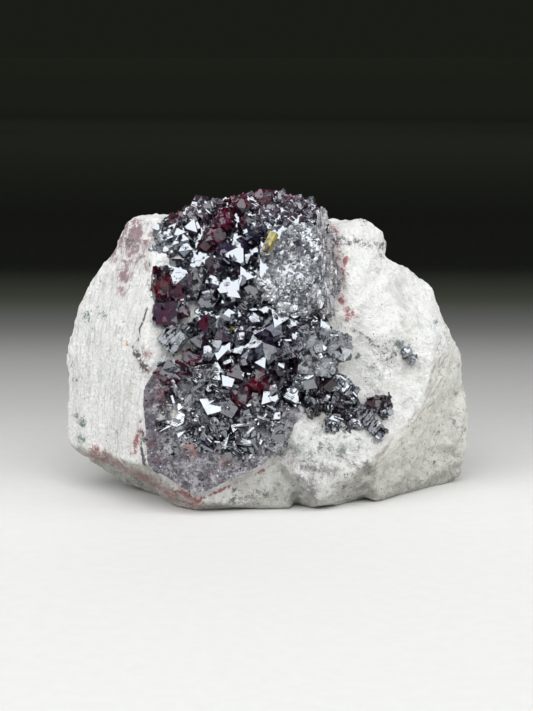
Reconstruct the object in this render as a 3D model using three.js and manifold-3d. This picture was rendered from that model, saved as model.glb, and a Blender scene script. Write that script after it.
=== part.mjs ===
// Cuprite crystals on a block of pale altered matrix. Millimetres, +Z up, front of the specimen
// toward -Y. The rock is a set of flat-faced fracture blocks joined into one lump, the crystals are
// octahedra with cube truncations grown from a thin bed on its leaning front.
import * as THREE from 'three';
import { ConvexGeometry } from 'three/addons/geometries/ConvexGeometry.js';
import { ConvexHull } from 'three/addons/math/ConvexHull.js';
import { ImprovedNoise } from 'three/addons/math/ImprovedNoise.js';
import { mergeVertices } from 'three/addons/utils/BufferGeometryUtils.js';
import Module from 'manifold-3d';

// Growth surface that carries the crystals: it leans back toward the crest.
const CREST_HEIGHT = 43;
const CREST_DEPTH = -3;
const FRONT_LEAN = 0.5;
const FRONT_LIMIT = -14.3;
const RIGHT_TURN_START = 4;
const RIGHT_TURN_SLOPE = 0.35;

// Clearance between neighbouring bodies, and how far crystals stand off the growth surface.
const CLEARANCE = 0.3;
const SLIVER = 0.05;
const STAND_OFF = 1.2;

// Broken rock surface.
const ROCK_FACET = 7;
const ROCK_LUMP = 0.75;
const ROCK_LUMP_SPAN = 9;
const ROCK_GRAIN = 0.4;
const ROCK_GRAIN_SPAN = 4;
const ROCK_WEAR = 0.2;
const JOINT_SHARE = 0.35;
const JOINT_LIMIT = { x: -0.5, y: -0.2 };
const GROUND_REACH = 40;
const GROUND_DEPTH = -9;

// Massive cuprite sheet.
const CRUST_FACET = 3.6;
const CRUST_LUMP = 0.45;
const CRUST_LUMP_SPAN = 3;
const CRUST_OPEN_NORMAL = -0.35;

// Crystal habit.
const CUBE_CUT = 0.86;
const CUT_FROM_REACH = 2.7;
const SQUARE_CUT = 0.6;
const AXIS_STRETCH = 0.18;
const SUNK_SHARE = 0.45;
const BLOCK_BEVEL = 0.4;
const FILLER_SEED = 41;
const FILLER_STAND = 0.4;
const FILLER_LIFT = [-10, 50];
const FILLER_TURN = [-50, 50];
const FILLER_SPIN = [0, 120];
const FILLER_SQUARE_SHARE = 0.25;

// Fracture blocks of the rock. Each list holds the corners of one flat-faced block.
const ROCK_BLOCKS = {
  leftSlab: [
    [-20.9, 0, 40.3], [-19.7, 1, 41.2], [-16.3, -3, 41.5], [-16.5, -8, 35.3], [-17.2, -12, 26],
    [-17.7, -14, 20.3], [-17.8, -15.5, 14.6], [-17.3, -16.5, 6.8], [-23.8, 1, 36.1],
    [-26.8, 2, 30.8], [-28.5, 2, 27.6], [-29.8, 2, 20.1], [-30.3, 1, 11.3], [-30.4, 0, 7.2],
    [-29.5, -1, 6.4], [-24.6, -6, 6.4], [-20.2, -11, 6], [-24.1, 1, 2.5], [-21.3, -3, 1.6],
    [-27, 9, 7], [-25, 12, 19], [-20, 13, 31], [-14, 9, 40], [-8, -3, 40], [-8, -8, 30],
    [-8, -12.5, 12], [-10, 17, 7], [-9, 16, 30], [-8, 12, 37], [-19, 4, -2], [-12, -7, -2],
    [-12, 13, -2],
  ],
  core: [
    [-15, -2, 41], [-8, -1, 42], [3, -0.5, 42.3], [9, -2, 40.5], [11, -5, 34], [11, -9, 24],
    [-14.5, -7.5, 35], [-14.5, -10.2, 27], [-8, -8.5, 31], [-8, -12, 20], [8, -12, 18],
    [-12, 9, 40], [4, 11, 41], [9, 10, 39], [-14, 14, 26], [8, 16, 30], [-14, 14, -2], [12, 15, -2],
    [-11, -10, -2], [9, -10, -2],
  ],
  lowerFront: [
    [-17.3, -16.2, 6.8], [-17.6, -15, 14.6], [-16.5, -13, 21], [-10, -16.8, 1.2],
    [-4.1, -16.3, 5.4], [0.9, -15.8, 7.3], [5.6, -14.6, 14.4], [-2, -12.5, 22], [-10, -12.5, 22],
    [-13.7, -13, 0.6], [-16.5, -9, 1.2], [-4.6, -13, 1.3], [3.2, -13.4, 0.5], [4, -8, -2],
    [-13, -7, -2], [-13, 2, 18], [5, 2, 18],
  ],
  tongue: [
    [1.4, -15.6, 8], [5.2, -16.3, 3.9], [7.8, -16, 1.1], [9.1, -15, 0.9], [15, -13, 7.2],
    [3, -14.3, 14], [12, -12.4, 14], [11.3, -10, 1.2], [5, -12, 1.4], [14, -6, -2], [4, -8, -2],
    [4, -5, 17], [14, -5, 17],
  ],
  ledge: [
    [24.3, -4, 21], [23.4, -7, 14.8], [19.5, -10, 10.9], [15, -13, 7.2], [18.9, -6, 21.5],
    [18.9, -8.5, 15], [30.1, 3, 3.4], [30.9, 4, 9.8], [30.2, 4, 14.1], [29.8, 4, 19.3],
    [27.3, 5, 24.1], [16.2, -9.7, 0.3], [21.6, -2.6, -2], [27.4, 2.4, -2], [29.4, 3, 1.5],
    [11.3, -9.6, 1.6], [8, -11.3, 19], [8, -13.2, 10], [25, 13, -2], [24, 15, 18], [8, 16, 20],
    [8, 16, -2],
  ],
  upperLobe: [
    [22.5, 6, 33], [24.7, 6, 29.6], [24.9, 5, 27.7], [27.3, 5, 24.1], [29.5, 4, 20],
    [18.8, 5, 34], [16.8, -2, 34.9], [11.6, -4.5, 36], [12.2, -8, 29.8], [19.7, -4, 29.2],
    [12.2, -9.2, 24.5], [20, -5.4, 24.5], [24.6, -2.5, 23.5], [6, -4, 34], [6, -9, 24],
    [8, 14, 33], [14, 15, 33], [22, 15, 25], [27, 12, 20], [8, 16, 20], [8, -8, 19],
  ],
  knob: [
    [9.9, 0, 40.7], [11.5, 0, 39.9], [14.2, 2, 40.8], [14.8, 2, 40.5], [16.9, 3, 38.6],
    [17.7, 4, 36.9], [17.8, 5, 32], [11.6, -3, 38], [16, -1.6, 35], [8, -3, 36], [8, 8, 40.5],
    [14, 9, 39], [17, 11, 33], [8, -6, 30], [16, -3, 29],
  ],
  backSlope: [
    [-21, 11, 5], [-19, 15.5, 16], [-13, 17.5, 27], [0, 19, 22], [13, 17.5, 25], [21, 16, 12],
    [19, 16, 2], [-15, 16, 1], [-4, 13, 38], [6, 13, 38], [0, 5, 20], [-14, 14, -2],
    [17, 14.5, -2],
  ],
  backRib: [
    [-23, 11.5, 21], [-18, 13.5, 32.5], [-10, 16.5, 32], [-4, 15.6, 35], [-5, 19, 20],
    [-17, 16.8, 12], [-20, 14.5, 6], [-13, 5, 20],
  ],
  shoulder: [
    [27.4, 5, 24.4], [29.8, 4, 19.3], [24.8, -2.8, 24.2], [24.4, -4.2, 20], [29, 3, 22],
    [26.6, 12.6, 22], [21, 2, 20], [21.6, 8, 27.6], [20.2, -5.6, 24.2], [27, 12, 17],
    [9, -9.8, 24.6], [9, -10.8, 19.4], [20, -7, 18],
  ],
};

// Solid bed of intergrown cuprite below the crystals, and the grey rim along its right side.
const BED_BLOCKS = {
  upperBed: [
    [-14.2, -2.8, 41], [-9.4, -1.6, 42.8], [-1.8, -0.8, 44.5], [2.6, -0.6, 44.4], [8.2, -1.8, 41.9],
    [-12.2, -6, 36.6], [-9.4, -8.8, 30], [4, -8.8, 31], [8, -7.4, 33], [-12, 1.6, 41.6],
    [-9, 2, 42.8], [-1, 3, 44], [4.6, 2.6, 43.2], [7.6, 1.6, 41.6], [-11, -2, 35], [7.4, -3, 34],
    [-7, -5, 27], [4, -5, 27],
  ],
  lowerBed: [
    [-9.8, -8.8, 30], [4, -8.8, 31], [-10.6, -11.8, 24], [-9.8, -13.4, 20.6], [-7.6, -14, 17.4],
    [0, -14.5, 13.2],
    [6.4, -13.2, 13.8], [10, -12.2, 13.4], [10.2, -11.4, 17], [10, -10.4, 24], [7.6, -8.2, 30],
    [-8, -7, 28],
    [7, -7, 28], [-8, -9.5, 18], [8, -9, 17],
  ],
  drusyBed: [
    [-0.8, -6, 38.8], [3, -4.8, 40.6], [7.6, -5, 39.6], [8.8, -7, 34], [8.4, -9.8, 29.4],
    [4, -11.2, 27.6], [0.4, -10.6, 30], [-1, -8.6, 33.6], [1, -2.6, 38], [7.6, -2.6, 38],
    [4, -7, 28],
  ],
  rimRidge: [
    [7.6, -2.8, 41.8], [8.8, -2.8, 41.4], [9.5, -4.8, 38], [10, -7.2, 33.6], [9.6, -9.6, 28.8],
    [8.2, -10.4, 27.6], [7.6, -9, 33], [7.4, -6, 38], [9, -1, 39], [9, -5, 31], [9.8, -5, 34],
  ],
};

// Massive sheet at the lower left, broken off along the sharp lower edge of the block.
const CRUST_BLOCKS = {
  sheet: [
    [-15.6, -16.2, 21.4], [-17.4, -16.9, 18.6], [-17.5, -17.5, 14.2], [-17, -17.8, 7.4],
    [-10, -18.2, 3.1], [-4.2, -17.9, 5.9], [0.4, -17.3, 7.9], [3, -16.4, 11],
    [5.4, -15.4, 14.6], [3.4, -15.3, 17.2], [-3, -15.6, 20.4], [-12.4, -16, 22],
    [-15.4, -14.6, 20.6], [-16.6, -15.4, 8], [-10, -16.4, 3.7], [-1, -15.2, 8], [2.4, -14, 13],
    [-3, -13.4, 19],
  ],
};

// Crystals measured one by one. x and z place the middle of the crystal, reach is its half height
// along an axis, lift and turn are the direction in degrees of its broadest face, spin rolls it.
const CLUSTER_CRYSTALS = [
  { x: -4.3, z: 35.7, reach: 2.7, lift: 34, turn: -6, spin: 20 },
  { x: -3.2, z: 32.9, reach: 1.7, lift: 36, turn: 8, spin: 65 },
  { x: -5.3, z: 31.0, reach: 3.0, lift: 38, turn: 0, spin: 0 },
  { x: -7.6, z: 32.5, reach: 1.7, lift: 34, turn: -10, spin: 30 },
  { x: -8.6, z: 30.1, reach: 2.1, lift: 44, turn: -14, spin: 50, square: true },
  { x: -5.4, z: 27.8, reach: 1.9, lift: 35, turn: 4, spin: 8, square: true },
  { x: -6.6, z: 22.8, reach: 2.0, lift: 34, turn: -4, spin: 95 },
  { x: 1.1, z: 25.7, reach: 2.1, lift: 37, turn: 10, spin: 10 },
  { x: 0.1, z: 23.1, reach: 2.6, lift: -4, turn: 24, spin: 84 },
  { x: -4.0, z: 24.8, reach: 1.9, lift: 30, turn: 18, spin: 40, square: true },
  { x: -0.6, z: 21.4, reach: 1.3, lift: 36, turn: -8, spin: 15 },
  { x: 2.0, z: 20.8, reach: 1.6, lift: 40, turn: 6, spin: 35, square: true },
  { x: -13.9, z: 39.2, reach: 1.7, lift: 35, turn: -20, spin: 5 },
  { x: -12.5, z: 38.0, reach: 1.9, lift: 38, turn: -12, spin: 70 },
  { x: -11.0, z: 39.8, reach: 1.6, lift: 33, turn: 4, spin: 25 },
  { x: -11.7, z: 36.9, reach: 1.5, lift: 40, turn: -6, spin: 55 },
  { x: -13.6, z: 41.0, reach: 1.7, lift: 28, turn: -24, spin: 0, square: true },
  { x: -9.6, z: 24.3, reach: 1.7, lift: 33, turn: -16, spin: 12 },
  { x: -8.4, z: 22.9, reach: 1.9, lift: 39, turn: 2, spin: 48, square: true },
  { x: 5.3, z: 19.6, reach: 2.3, lift: 34, turn: 14, spin: 30 },
  { x: 4.4, z: 23.7, reach: 1.7, lift: 2, turn: 18, spin: 20, square: true },
  { x: 7.4, z: 24.2, block: [1.0, 1.9, 1.3], lift: 2, turn: 20, spin: -5, stand: 1.7 },
  { x: 10.0, z: 24.0, block: [1.2, 1.5, 1.4], lift: 3, turn: 28, spin: -14, stand: 2.2 },
  { x: 6.7, z: 21.3, block: [1.1, 2.6, 1.3], lift: 2, turn: 16, spin: -9, stand: 1.5 },
  { x: 9.4, z: 22.0, reach: 1.7, lift: 30, turn: 24, spin: 64 },
  { x: 8.2, z: 25.8, reach: 1.5, lift: 38, turn: 12, spin: 60 },
  { x: -7.4, z: 34.0, reach: 2.6, lift: 16, turn: -18, spin: 15 },
  { x: -5.8, z: 36.6, reach: 2.3, lift: 14, turn: 6, spin: 90 },
  { x: -2.3, z: 30.5, reach: 2.9, lift: 12, turn: 30, spin: 45 },
  { x: -2.0, z: 39.4, reach: 2.8, lift: 18, turn: -8, spin: 75 },
  { x: -7.7, z: 38.4, reach: 2.7, lift: 24, turn: -20, spin: 52, square: true },
  { x: -6.4, z: 40.6, reach: 2.2, lift: 26, turn: 12, spin: 28, square: true },
  { x: -4.2, z: 42.9, reach: 1.7, lift: 20, turn: -10, spin: 33, stand: -0.6 },
  { x: -0.6, z: 43.7, reach: 1.7, lift: 24, turn: 4, spin: 38, square: true, stand: -0.9 },
  { x: 2.0, z: 43.8, reach: 1.6, lift: 30, turn: 20, spin: 26, stand: -0.9 },
  { x: 4.4, z: 43.0, reach: 1.5, lift: 26, turn: 26, spin: 70, square: true, stand: -0.8 },
  { x: 6.6, z: 41.9, reach: 1.4, lift: 30, turn: 30, spin: 14, stand: -0.2 },
  { x: -8.4, z: 42.5, reach: 1.5, lift: 32, turn: -14, spin: 42, square: true, stand: 0.2 },
  { x: -10.8, z: 42.0, reach: 1.3, lift: 30, turn: -22, spin: 8, stand: 0.2 },
  { x: -10.6, z: 21.7, reach: 2.3, lift: 22, turn: -10, spin: 88 },
  { x: -1.1, z: 18.9, reach: 2.2, lift: 16, turn: 12, spin: 34 },
  { x: -3.7, z: 17.1, reach: 2.6, lift: 18, turn: -6, spin: 10 },
  { x: -8.5, z: 26.6, reach: 2.2, lift: 18, turn: -30, spin: 22 },
  { x: 3.0, z: 22.9, reach: 2.1, lift: 10, turn: 0, spin: 62 },
  { x: 1.3, z: 13.9, reach: 1.7, lift: 20, turn: 10, spin: 44, square: true },
  { x: 7.5, z: 17.3, reach: 2.1, lift: 14, turn: 34, spin: 5 },
  { x: 9.4, z: 18.6, reach: 2.0, lift: 20, turn: 30, spin: 36 },
  { x: 6.4, z: 15.2, reach: 2.1, lift: 12, turn: 20, spin: 72 },
  { x: 3.6, z: 16.8, reach: 2.0, lift: 22, turn: 4, spin: 18 },
  { x: 9.6, z: 15.8, reach: 1.9, lift: 16, turn: 26, spin: 50 },
  { x: 9.9, z: 13.2, reach: 1.5, lift: 28, turn: 10, spin: 24 },
  { x: 10.9, z: 17.9, block: [1.2, 0.9, 2.2], lift: 10, turn: 16, spin: 53, stand: 1.4 },
  { x: 1.6, z: 27.2, reach: 1.9, lift: 26, turn: 8, spin: 78 },
  { x: -1.6, z: 27.4, reach: 2.1, lift: 20, turn: -12, spin: 12, square: true },
  { x: -6.2, z: 25.0, reach: 2.0, lift: 14, turn: -20, spin: 58 },
  { x: 0.4, z: 16.4, reach: 1.9, lift: 30, turn: -8, spin: 66 },
  { x: -4.6, z: 19.9, reach: 1.9, lift: 32, turn: 14, spin: 24 },
  { x: -7.6, z: 19.9, reach: 1.9, lift: 24, turn: 0, spin: 32 },
];

// Small crystals on the smooth wall left of the cluster.
const LEFT_CRYSTALS = [
  { x: -15.0, z: 32.3, block: [1.6, 1.1, 2.4], lift: 4, turn: 28, spin: -9, stand: 1.5 },
  { x: -12.6, z: 33.1, reach: 2.3, lift: 32, turn: -8, spin: 92, stand: 2.2 },
  { x: -10.5, z: 32.4, block: [1.5, 1.35, 2.3], lift: 3, turn: 38, spin: 4, stand: 1.3 },
  { x: -13.0, z: 31.0, reach: 1.7, lift: 8, turn: 14, spin: 30, stand: 1.7 },
];

const PURPLE_CRYSTALS = [
  { x: -14.3, z: 28.2, block: [1.5, 1.75, 1.5], lift: 10, turn: -6, spin: -5, stand: 1.5 },
  { x: -11.9, z: 28.7, reach: 1.5, lift: 20, turn: 12, spin: 20, stand: 1.8 },
];

const STRIATED_CRYSTALS = [
  { x: -13.3, z: 24.9, block: [1.2, 1.6, 1.65], lift: 4, turn: -14, spin: 48, stand: 0.9 },
  { x: -11.1, z: 25.9, reach: 1.9, lift: 8, turn: 12, spin: 20, square: true, stand: 0.9 },
];

// Crystals spread on the pale ledge at the lower right.
const LOWER_RIGHT_CRYSTALS = [
  { x: 15.8, z: 14.8, reach: 2.0, lift: 24, turn: 10, spin: 15, square: true, stand: 1.2 },
  { x: 17.2, z: 15.1, reach: 1.5, lift: 20, turn: 30, spin: 55, square: true, stand: 1.2 },
  { x: 17.2, z: 13.9, reach: 1.3, lift: 26, turn: 16, spin: 30, stand: 1.2 },
  { x: 14.9, z: 13.7, reach: 1.5, lift: 30, turn: 0, spin: 66, square: true, stand: 1.1 },
  { x: 14.6, z: 12.4, block: [1.3, 0.85, 2.9], lift: 10, turn: 12, spin: 44, stand: 1.0 },
  { x: 12.8, z: 12.3, reach: 1.5, lift: 22, turn: 8, spin: 40, stand: 1.2 },
];

const LEDGE_CRYSTALS = [
  { x: 20.5, z: 21.7, reach: 1.35, lift: 26, turn: 8, spin: 20, square: true, stand: -1.6 },
  { x: 21.3, z: 20.6, reach: 1.15, lift: 22, turn: 24, spin: 50, square: true, stand: -1.6 },
];

// Small filler crystals: where they may sit, how many and how large.
const FILLER_ZONES = [
  { x: [-11, 4], z: [29, 42], count: 8, reach: [1.0, 1.7] },
  { x: [-8.5, 8.5], z: [16, 28], count: 9, reach: [1.0, 1.7] },
  { x: [-0.4, 7], z: [28.5, 39.5], count: 8, reach: [0.8, 1.3], stand: [1.3, 1.9] },
  { x: [-11, 7], z: [41.8, 43.2], count: 9, reach: [1.0, 1.5], stand: [-3.4, 0] },
];

const wasm = await Module();
wasm.setup();

const noise = new ImprovedNoise();
const FRONT = new THREE.Vector3(0, -1, 0);
const WELD = 1e-4;
const SAME_PLANE = 0.9999;
const FLAT_VOLUME = 1e-4;
const ON_PLANE = 1e-5;
const SAME_CORNER = 1e-3;
const RANDOM_STEP = 16807;
const RANDOM_RANGE = 2147483647;

// Repeatable random numbers between 0 and 1.
function seeded(seed) {
  let state = seed;
  return () => {
    state = (state * RANDOM_STEP) % RANDOM_RANGE;
    return state / RANDOM_RANGE;
  };
}

const random = seeded(FILLER_SEED);

function between([low, high]) {
  return low + (high - low) * random();
}

function growthDepth(x, z) {
  const lean = Math.max(CREST_DEPTH - (CREST_HEIGHT - z) * FRONT_LEAN, FRONT_LIMIT);
  const turn = Math.max(0, x - RIGHT_TURN_START) * RIGHT_TURN_SLOPE;
  return lean + turn;
}

function corners(list) {
  return list.map(([x, y, z]) => new THREE.Vector3(x, y, z));
}

function welded(geometry) {
  const bare = geometry.clone();
  bare.deleteAttribute('normal');
  bare.deleteAttribute('uv');
  return mergeVertices(bare, WELD);
}

function toSolid(geometry) {
  const closed = welded(geometry);
  const vertProperties = new Float32Array(closed.getAttribute('position').array);
  const triVerts = new Uint32Array(closed.getIndex().array);
  return new wasm.Manifold(new wasm.Mesh({ numProp: 3, vertProperties, triVerts }));
}

function toGeometry(solid) {
  const mesh = solid.getMesh();
  const positions = [];
  for (let i = 0; i < mesh.vertProperties.length; i += mesh.numProp) {
    positions.push(mesh.vertProperties[i], mesh.vertProperties[i + 1], mesh.vertProperties[i + 2]);
  }
  const geometry = new THREE.BufferGeometry();
  geometry.setAttribute('position', new THREE.Float32BufferAttribute(positions, 3));
  geometry.setIndex(Array.from(mesh.triVerts));
  return geometry;
}

function hullSolid(points) {
  return toSolid(new ConvexGeometry(points));
}

// Flat faces of a convex body as outward normals and distances.
function hullPlanes(points) {
  const planes = [];
  for (const face of new ConvexHull().setFromPoints(points).faces) {
    const known = planes.some((plane) => plane.normal.dot(face.normal) > SAME_PLANE);
    if (!known) {
      planes.push({ normal: face.normal.clone(), distance: face.constant });
    }
  }
  return planes;
}

// Corner points of the body that lies inside every plane.
function planeCorners(planes) {
  const found = [];
  const cross = new THREE.Vector3();
  for (let i = 0; i < planes.length; i += 1) {
    for (let j = i + 1; j < planes.length; j += 1) {
      for (let k = j + 1; k < planes.length; k += 1) {
        const [a, b, c] = [planes[i], planes[j], planes[k]];
        const volume = a.normal.dot(cross.crossVectors(b.normal, c.normal));
        if (Math.abs(volume) > FLAT_VOLUME) {
          const point = cross.clone().multiplyScalar(a.distance);
          point.addScaledVector(cross.crossVectors(c.normal, a.normal), b.distance);
          point.addScaledVector(cross.crossVectors(a.normal, b.normal), c.distance);
          point.divideScalar(volume);
          const inside = planes.every((p) => p.normal.dot(point) <= p.distance + ON_PLANE);
          if (inside && !found.some((other) => other.distanceTo(point) < SAME_CORNER)) {
            found.push(point);
          }
        }
      }
    }
  }
  return found;
}

// The same convex body with every face moved outward.
function grown(points, distance) {
  const planes = hullPlanes(points);
  return planeCorners(planes.map((p) => ({ normal: p.normal, distance: p.distance + distance })));
}

// One crystal: an octahedron, stretched a little along its own axes. Large ones have their front
// corners cut by cube faces, square ones all six corners. A block crystal is ruled by the cube
// faces, with its front corners cut by the octahedron.
function crystalPoints(crystal) {
  if (crystal.block) {
    return turned(crystal, blockCorners(crystal.block), 1);
  }
  const cut = crystal.square ? SQUARE_CUT : CUBE_CUT;
  const full = crystal.reach < CUT_FROM_REACH && !crystal.square;
  const local = [];
  for (let axis = 0; axis < 3; axis += 1) {
    for (const sign of [-1, 1]) {
      const tip = new THREE.Vector3().setComponent(axis, sign);
      if (full || (sign < 0 && !crystal.square)) {
        local.push(tip);
      } else {
        local.push(...cutCorners(axis, sign, cut));
      }
    }
  }
  const stretch = new THREE.Vector3(1, 1 + AXIS_STRETCH * random(), 1 - AXIS_STRETCH * random());
  return turned(crystal, local.map((point) => point.multiply(stretch)), crystal.reach);
}

// Corners of a block with the given half sizes to the front, sideways and upward.
function blockCorners([deep, wide, tall]) {
  const bevel = BLOCK_BEVEL * Math.min(deep, wide, tall);
  const list = [];
  for (const side of [-1, 1]) {
    for (const rise of [-1, 1]) {
      list.push(new THREE.Vector3(-deep, side * wide, rise * tall));
      list.push(new THREE.Vector3(deep - bevel, side * wide, rise * tall));
      list.push(new THREE.Vector3(deep, side * (wide - bevel), rise * tall));
      list.push(new THREE.Vector3(deep, side * wide, rise * (tall - bevel)));
    }
  }
  return list;
}

// Turns local corners to the crystal's own direction and moves them to its place.
function turned(crystal, local, scale) {
  const faced = crystal.square || crystal.block;
  const broad = faced ? new THREE.Vector3(1, 0, 0) : new THREE.Vector3(1, 1, 1);
  const toFront = new THREE.Quaternion().setFromUnitVectors(broad.normalize(), FRONT);
  const roll = new THREE.Quaternion().setFromAxisAngle(FRONT, THREE.MathUtils.degToRad(crystal.spin));
  const lift = new THREE.Quaternion().setFromEuler(new THREE.Euler(
    -THREE.MathUtils.degToRad(crystal.lift), 0, THREE.MathUtils.degToRad(crystal.turn), 'ZXY'));
  const rotation = lift.multiply(roll).multiply(toFront);
  const place = new THREE.Vector3(crystal.x, crystal.y, crystal.z);
  return local.map((point) => point.multiplyScalar(scale).applyQuaternion(rotation).add(place));
}

// The four corners left where a cube face cuts off one tip of the octahedron.
function cutCorners(axis, sign, cut) {
  const list = [];
  for (const other of [1, 2]) {
    for (const side of [-1, 1]) {
      const point = new THREE.Vector3().setComponent(axis, sign * cut);
      list.push(point.setComponent((axis + other) % 3, side * (1 - cut)));
    }
  }
  return list;
}

// Puts a crystal on the growth surface when it has no depth of its own.
function placed(crystal) {
  const stand = crystal.stand === undefined ? STAND_OFF : crystal.stand;
  const face = growthDepth(crystal.x, crystal.z) - stand;
  const reach = crystal.block ? crystal.block[0] : crystal.reach;
  return { ...crystal, y: face + SUNK_SHARE * reach };
}

function fillerCrystals() {
  const list = [];
  for (const zone of FILLER_ZONES) {
    for (let i = 0; i < zone.count; i += 1) {
      list.push({
        x: between(zone.x),
        z: between(zone.z),
        reach: between(zone.reach),
        lift: between(FILLER_LIFT),
        turn: between(FILLER_TURN),
        spin: between(FILLER_SPIN),
        stand: zone.stand ? between(zone.stand) : FILLER_STAND,
        square: random() < FILLER_SQUARE_SHARE,
      });
    }
  }
  return list;
}

function union(solids) {
  return solids.reduce((sum, solid) => sum.add(solid));
}

// Triangle mesh of a solid with every edge shorter than the limit; shared edges split alike.
function withShortEdges(solid, limit) {
  const mesh = solid.getMesh();
  const points = [];
  for (let i = 0; i < mesh.vertProperties.length; i += mesh.numProp) {
    points.push(new THREE.Vector3(...mesh.vertProperties.slice(i, i + 3)));
  }
  let triangles = [];
  for (let i = 0; i < mesh.triVerts.length; i += 3) {
    triangles.push([...mesh.triVerts.slice(i, i + 3)]);
  }
  let middles = new Map();
  const middle = (a, b) => {
    const key = a < b ? `${a}_${b}` : `${b}_${a}`;
    if (!middles.has(key)) {
      const long = points[a].distanceTo(points[b]) > limit;
      middles.set(key, long ? points.push(points[a].clone().lerp(points[b], 0.5)) - 1 : -1);
    }
    return middles.get(key);
  };
  let before = 0;
  while (before !== triangles.length) {
    before = triangles.length;
    middles = new Map();
    triangles = triangles.flatMap((triangle) => splitTriangle(triangle, middle));
  }
  return { points, triangles };
}

function splitTriangle([a, b, c], middle) {
  const cuts = [middle(a, b), middle(b, c), middle(c, a)];
  const count = cuts.filter((cut) => cut >= 0).length;
  const [ab, bc, ca] = cuts;
  if (count === 3) {
    return [[a, ab, ca], [ab, b, bc], [ca, bc, c], [ab, bc, ca]];
  }
  if (count === 2) {
    if (ab < 0) {
      return [[a, b, bc], [a, bc, ca], [ca, bc, c]];
    }
    if (bc < 0) {
      return [[a, ab, ca], [ab, b, c], [ab, c, ca]];
    }
    return [[ab, b, bc], [a, ab, bc], [a, bc, c]];
  }
  if (count === 1) {
    if (ab >= 0) {
      return [[a, ab, c], [ab, b, c]];
    }
    if (bc >= 0) {
      return [[a, b, bc], [a, bc, c]];
    }
    return [[a, b, ca], [b, c, ca]];
  }
  return [[a, b, c]];
}

// Rounds flat blocks into broken rock: short edges, then lumps and grain along the normals.
function roughened(solid, facet, amount) {
  const { points, triangles } = withShortEdges(solid, facet);
  const geometry = new THREE.BufferGeometry();
  const flat = points.flatMap((p) => [p.x, p.y, p.z]);
  geometry.setAttribute('position', new THREE.Float32BufferAttribute(flat, 3));
  geometry.setIndex(triangles.flat());
  geometry.computeVertexNormals();
  const normal = geometry.getAttribute('normal');
  const moved = points.flatMap((p, i) => {
    const n = new THREE.Vector3().fromBufferAttribute(normal, i);
    const q = p.clone().addScaledVector(n, amount(p, n));
    return [q.x, q.y, q.z];
  });
  const vertProperties = new Float32Array(moved);
  const triVerts = new Uint32Array(triangles.flat());
  return new wasm.Manifold(new wasm.Mesh({ numProp: 3, vertProperties, triVerts }));
}

function lumps(p, span, height) {
  return noise.noise(p.x / span, p.y / span, p.z / span) * height;
}

// The left face is a flat joint plane, so it stays smoother.
function rockRelief(p, n) {
  const share = n.x < JOINT_LIMIT.x && n.y < JOINT_LIMIT.y ? JOINT_SHARE : 1;
  const lump = lumps(p, ROCK_LUMP_SPAN, 2 * ROCK_LUMP);
  const grain = lumps(p, ROCK_GRAIN_SPAN, 2 * ROCK_GRAIN);
  return (lump + grain) * share - ROCK_WEAR;
}

// Only the open face of the sheet is lumpy; its seat stays flat.
function crustRelief(p, n) {
  return n.y < CRUST_OPEN_NORMAL ? lumps(p, CRUST_LUMP_SPAN, 2 * CRUST_LUMP) : 0;
}

const clusterBodies = [
  ...Object.values(BED_BLOCKS).map(corners),
  ...CLUSTER_CRYSTALS.map(placed).map(crystalPoints),
  ...fillerCrystals().map(placed).map(crystalPoints),
];
const leftBodies = LEFT_CRYSTALS.map(placed).map(crystalPoints);
const purpleBodies = PURPLE_CRYSTALS.map(placed).map(crystalPoints);
const striatedBodies = STRIATED_CRYSTALS.map(placed).map(crystalPoints);
const lowerRightBodies = LOWER_RIGHT_CRYSTALS.map(placed).map(crystalPoints);
const ledgeBodies = LEDGE_CRYSTALS.map(placed).map(crystalPoints);
const crustBodies = Object.values(CRUST_BLOCKS).map(corners);

function grownSolids(bodies) {
  return union(bodies.map((points) => hullSolid(grown(points, CLEARANCE))));
}

const clusterSeat = grownSolids(clusterBodies);
const leftSeat = grownSolids(leftBodies);
const purpleSeat = grownSolids(purpleBodies);
const striatedSeat = grownSolids(striatedBodies);
const lowerRightSeat = grownSolids(lowerRightBodies);
const ledgeSeat = grownSolids(ledgeBodies);
const crustSeat = grownSolids(crustBodies);

const cluster = union(clusterBodies.map(hullSolid));
const leftCrystals = union(leftBodies.map(hullSolid)).subtract(clusterSeat);
const purple = union(purpleBodies.map(hullSolid)).subtract(clusterSeat).subtract(leftSeat);
const striated = union(striatedBodies.map(hullSolid)).subtract(clusterSeat).subtract(purpleSeat);
const lowerRight = union(lowerRightBodies.map(hullSolid)).subtract(clusterSeat);
const ledge = union(ledgeBodies.map(hullSolid));
const crust = roughened(union(crustBodies.map(hullSolid)), CRUST_FACET, crustRelief)
  .subtract(clusterSeat).subtract(striatedSeat).subtract(lowerRightSeat);

const rough = roughened(union(Object.values(ROCK_BLOCKS).map(corners).map(hullSolid)),
  ROCK_FACET, rockRelief);
const ground = hullSolid([GROUND_DEPTH, 0].flatMap((z) => corners([
  [-GROUND_REACH, -GROUND_REACH, z], [GROUND_REACH, -GROUND_REACH, z],
  [GROUND_REACH, GROUND_REACH, z], [-GROUND_REACH, GROUND_REACH, z],
])));
const seats = [
  ground, clusterSeat, leftSeat, purpleSeat, striatedSeat, lowerRightSeat, ledgeSeat, crustSeat,
];
const matrix = seats.reduce((rest, seat) => rest.subtract(seat), rough);

const BODIES = [
  ['matrix', matrix, '#cfd0cc', 0.9],
  ['cuprite_cluster', cluster, '#2a1a22', 0.2],
  ['cuprite_crust', crust, '#5a5460', 0.45],
  ['left_crystals', leftCrystals, '#4a1420', 0.2],
  ['purple_crystal', purple, '#4a2a3c', 0.2],
  ['striated_crystal', striated, '#5a5f68', 0.25],
  ['lower_right_crystals', lowerRight, '#3a2a30', 0.3],
  ['ledge_crystals', ledge, '#55575c', 0.3],
];

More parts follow.
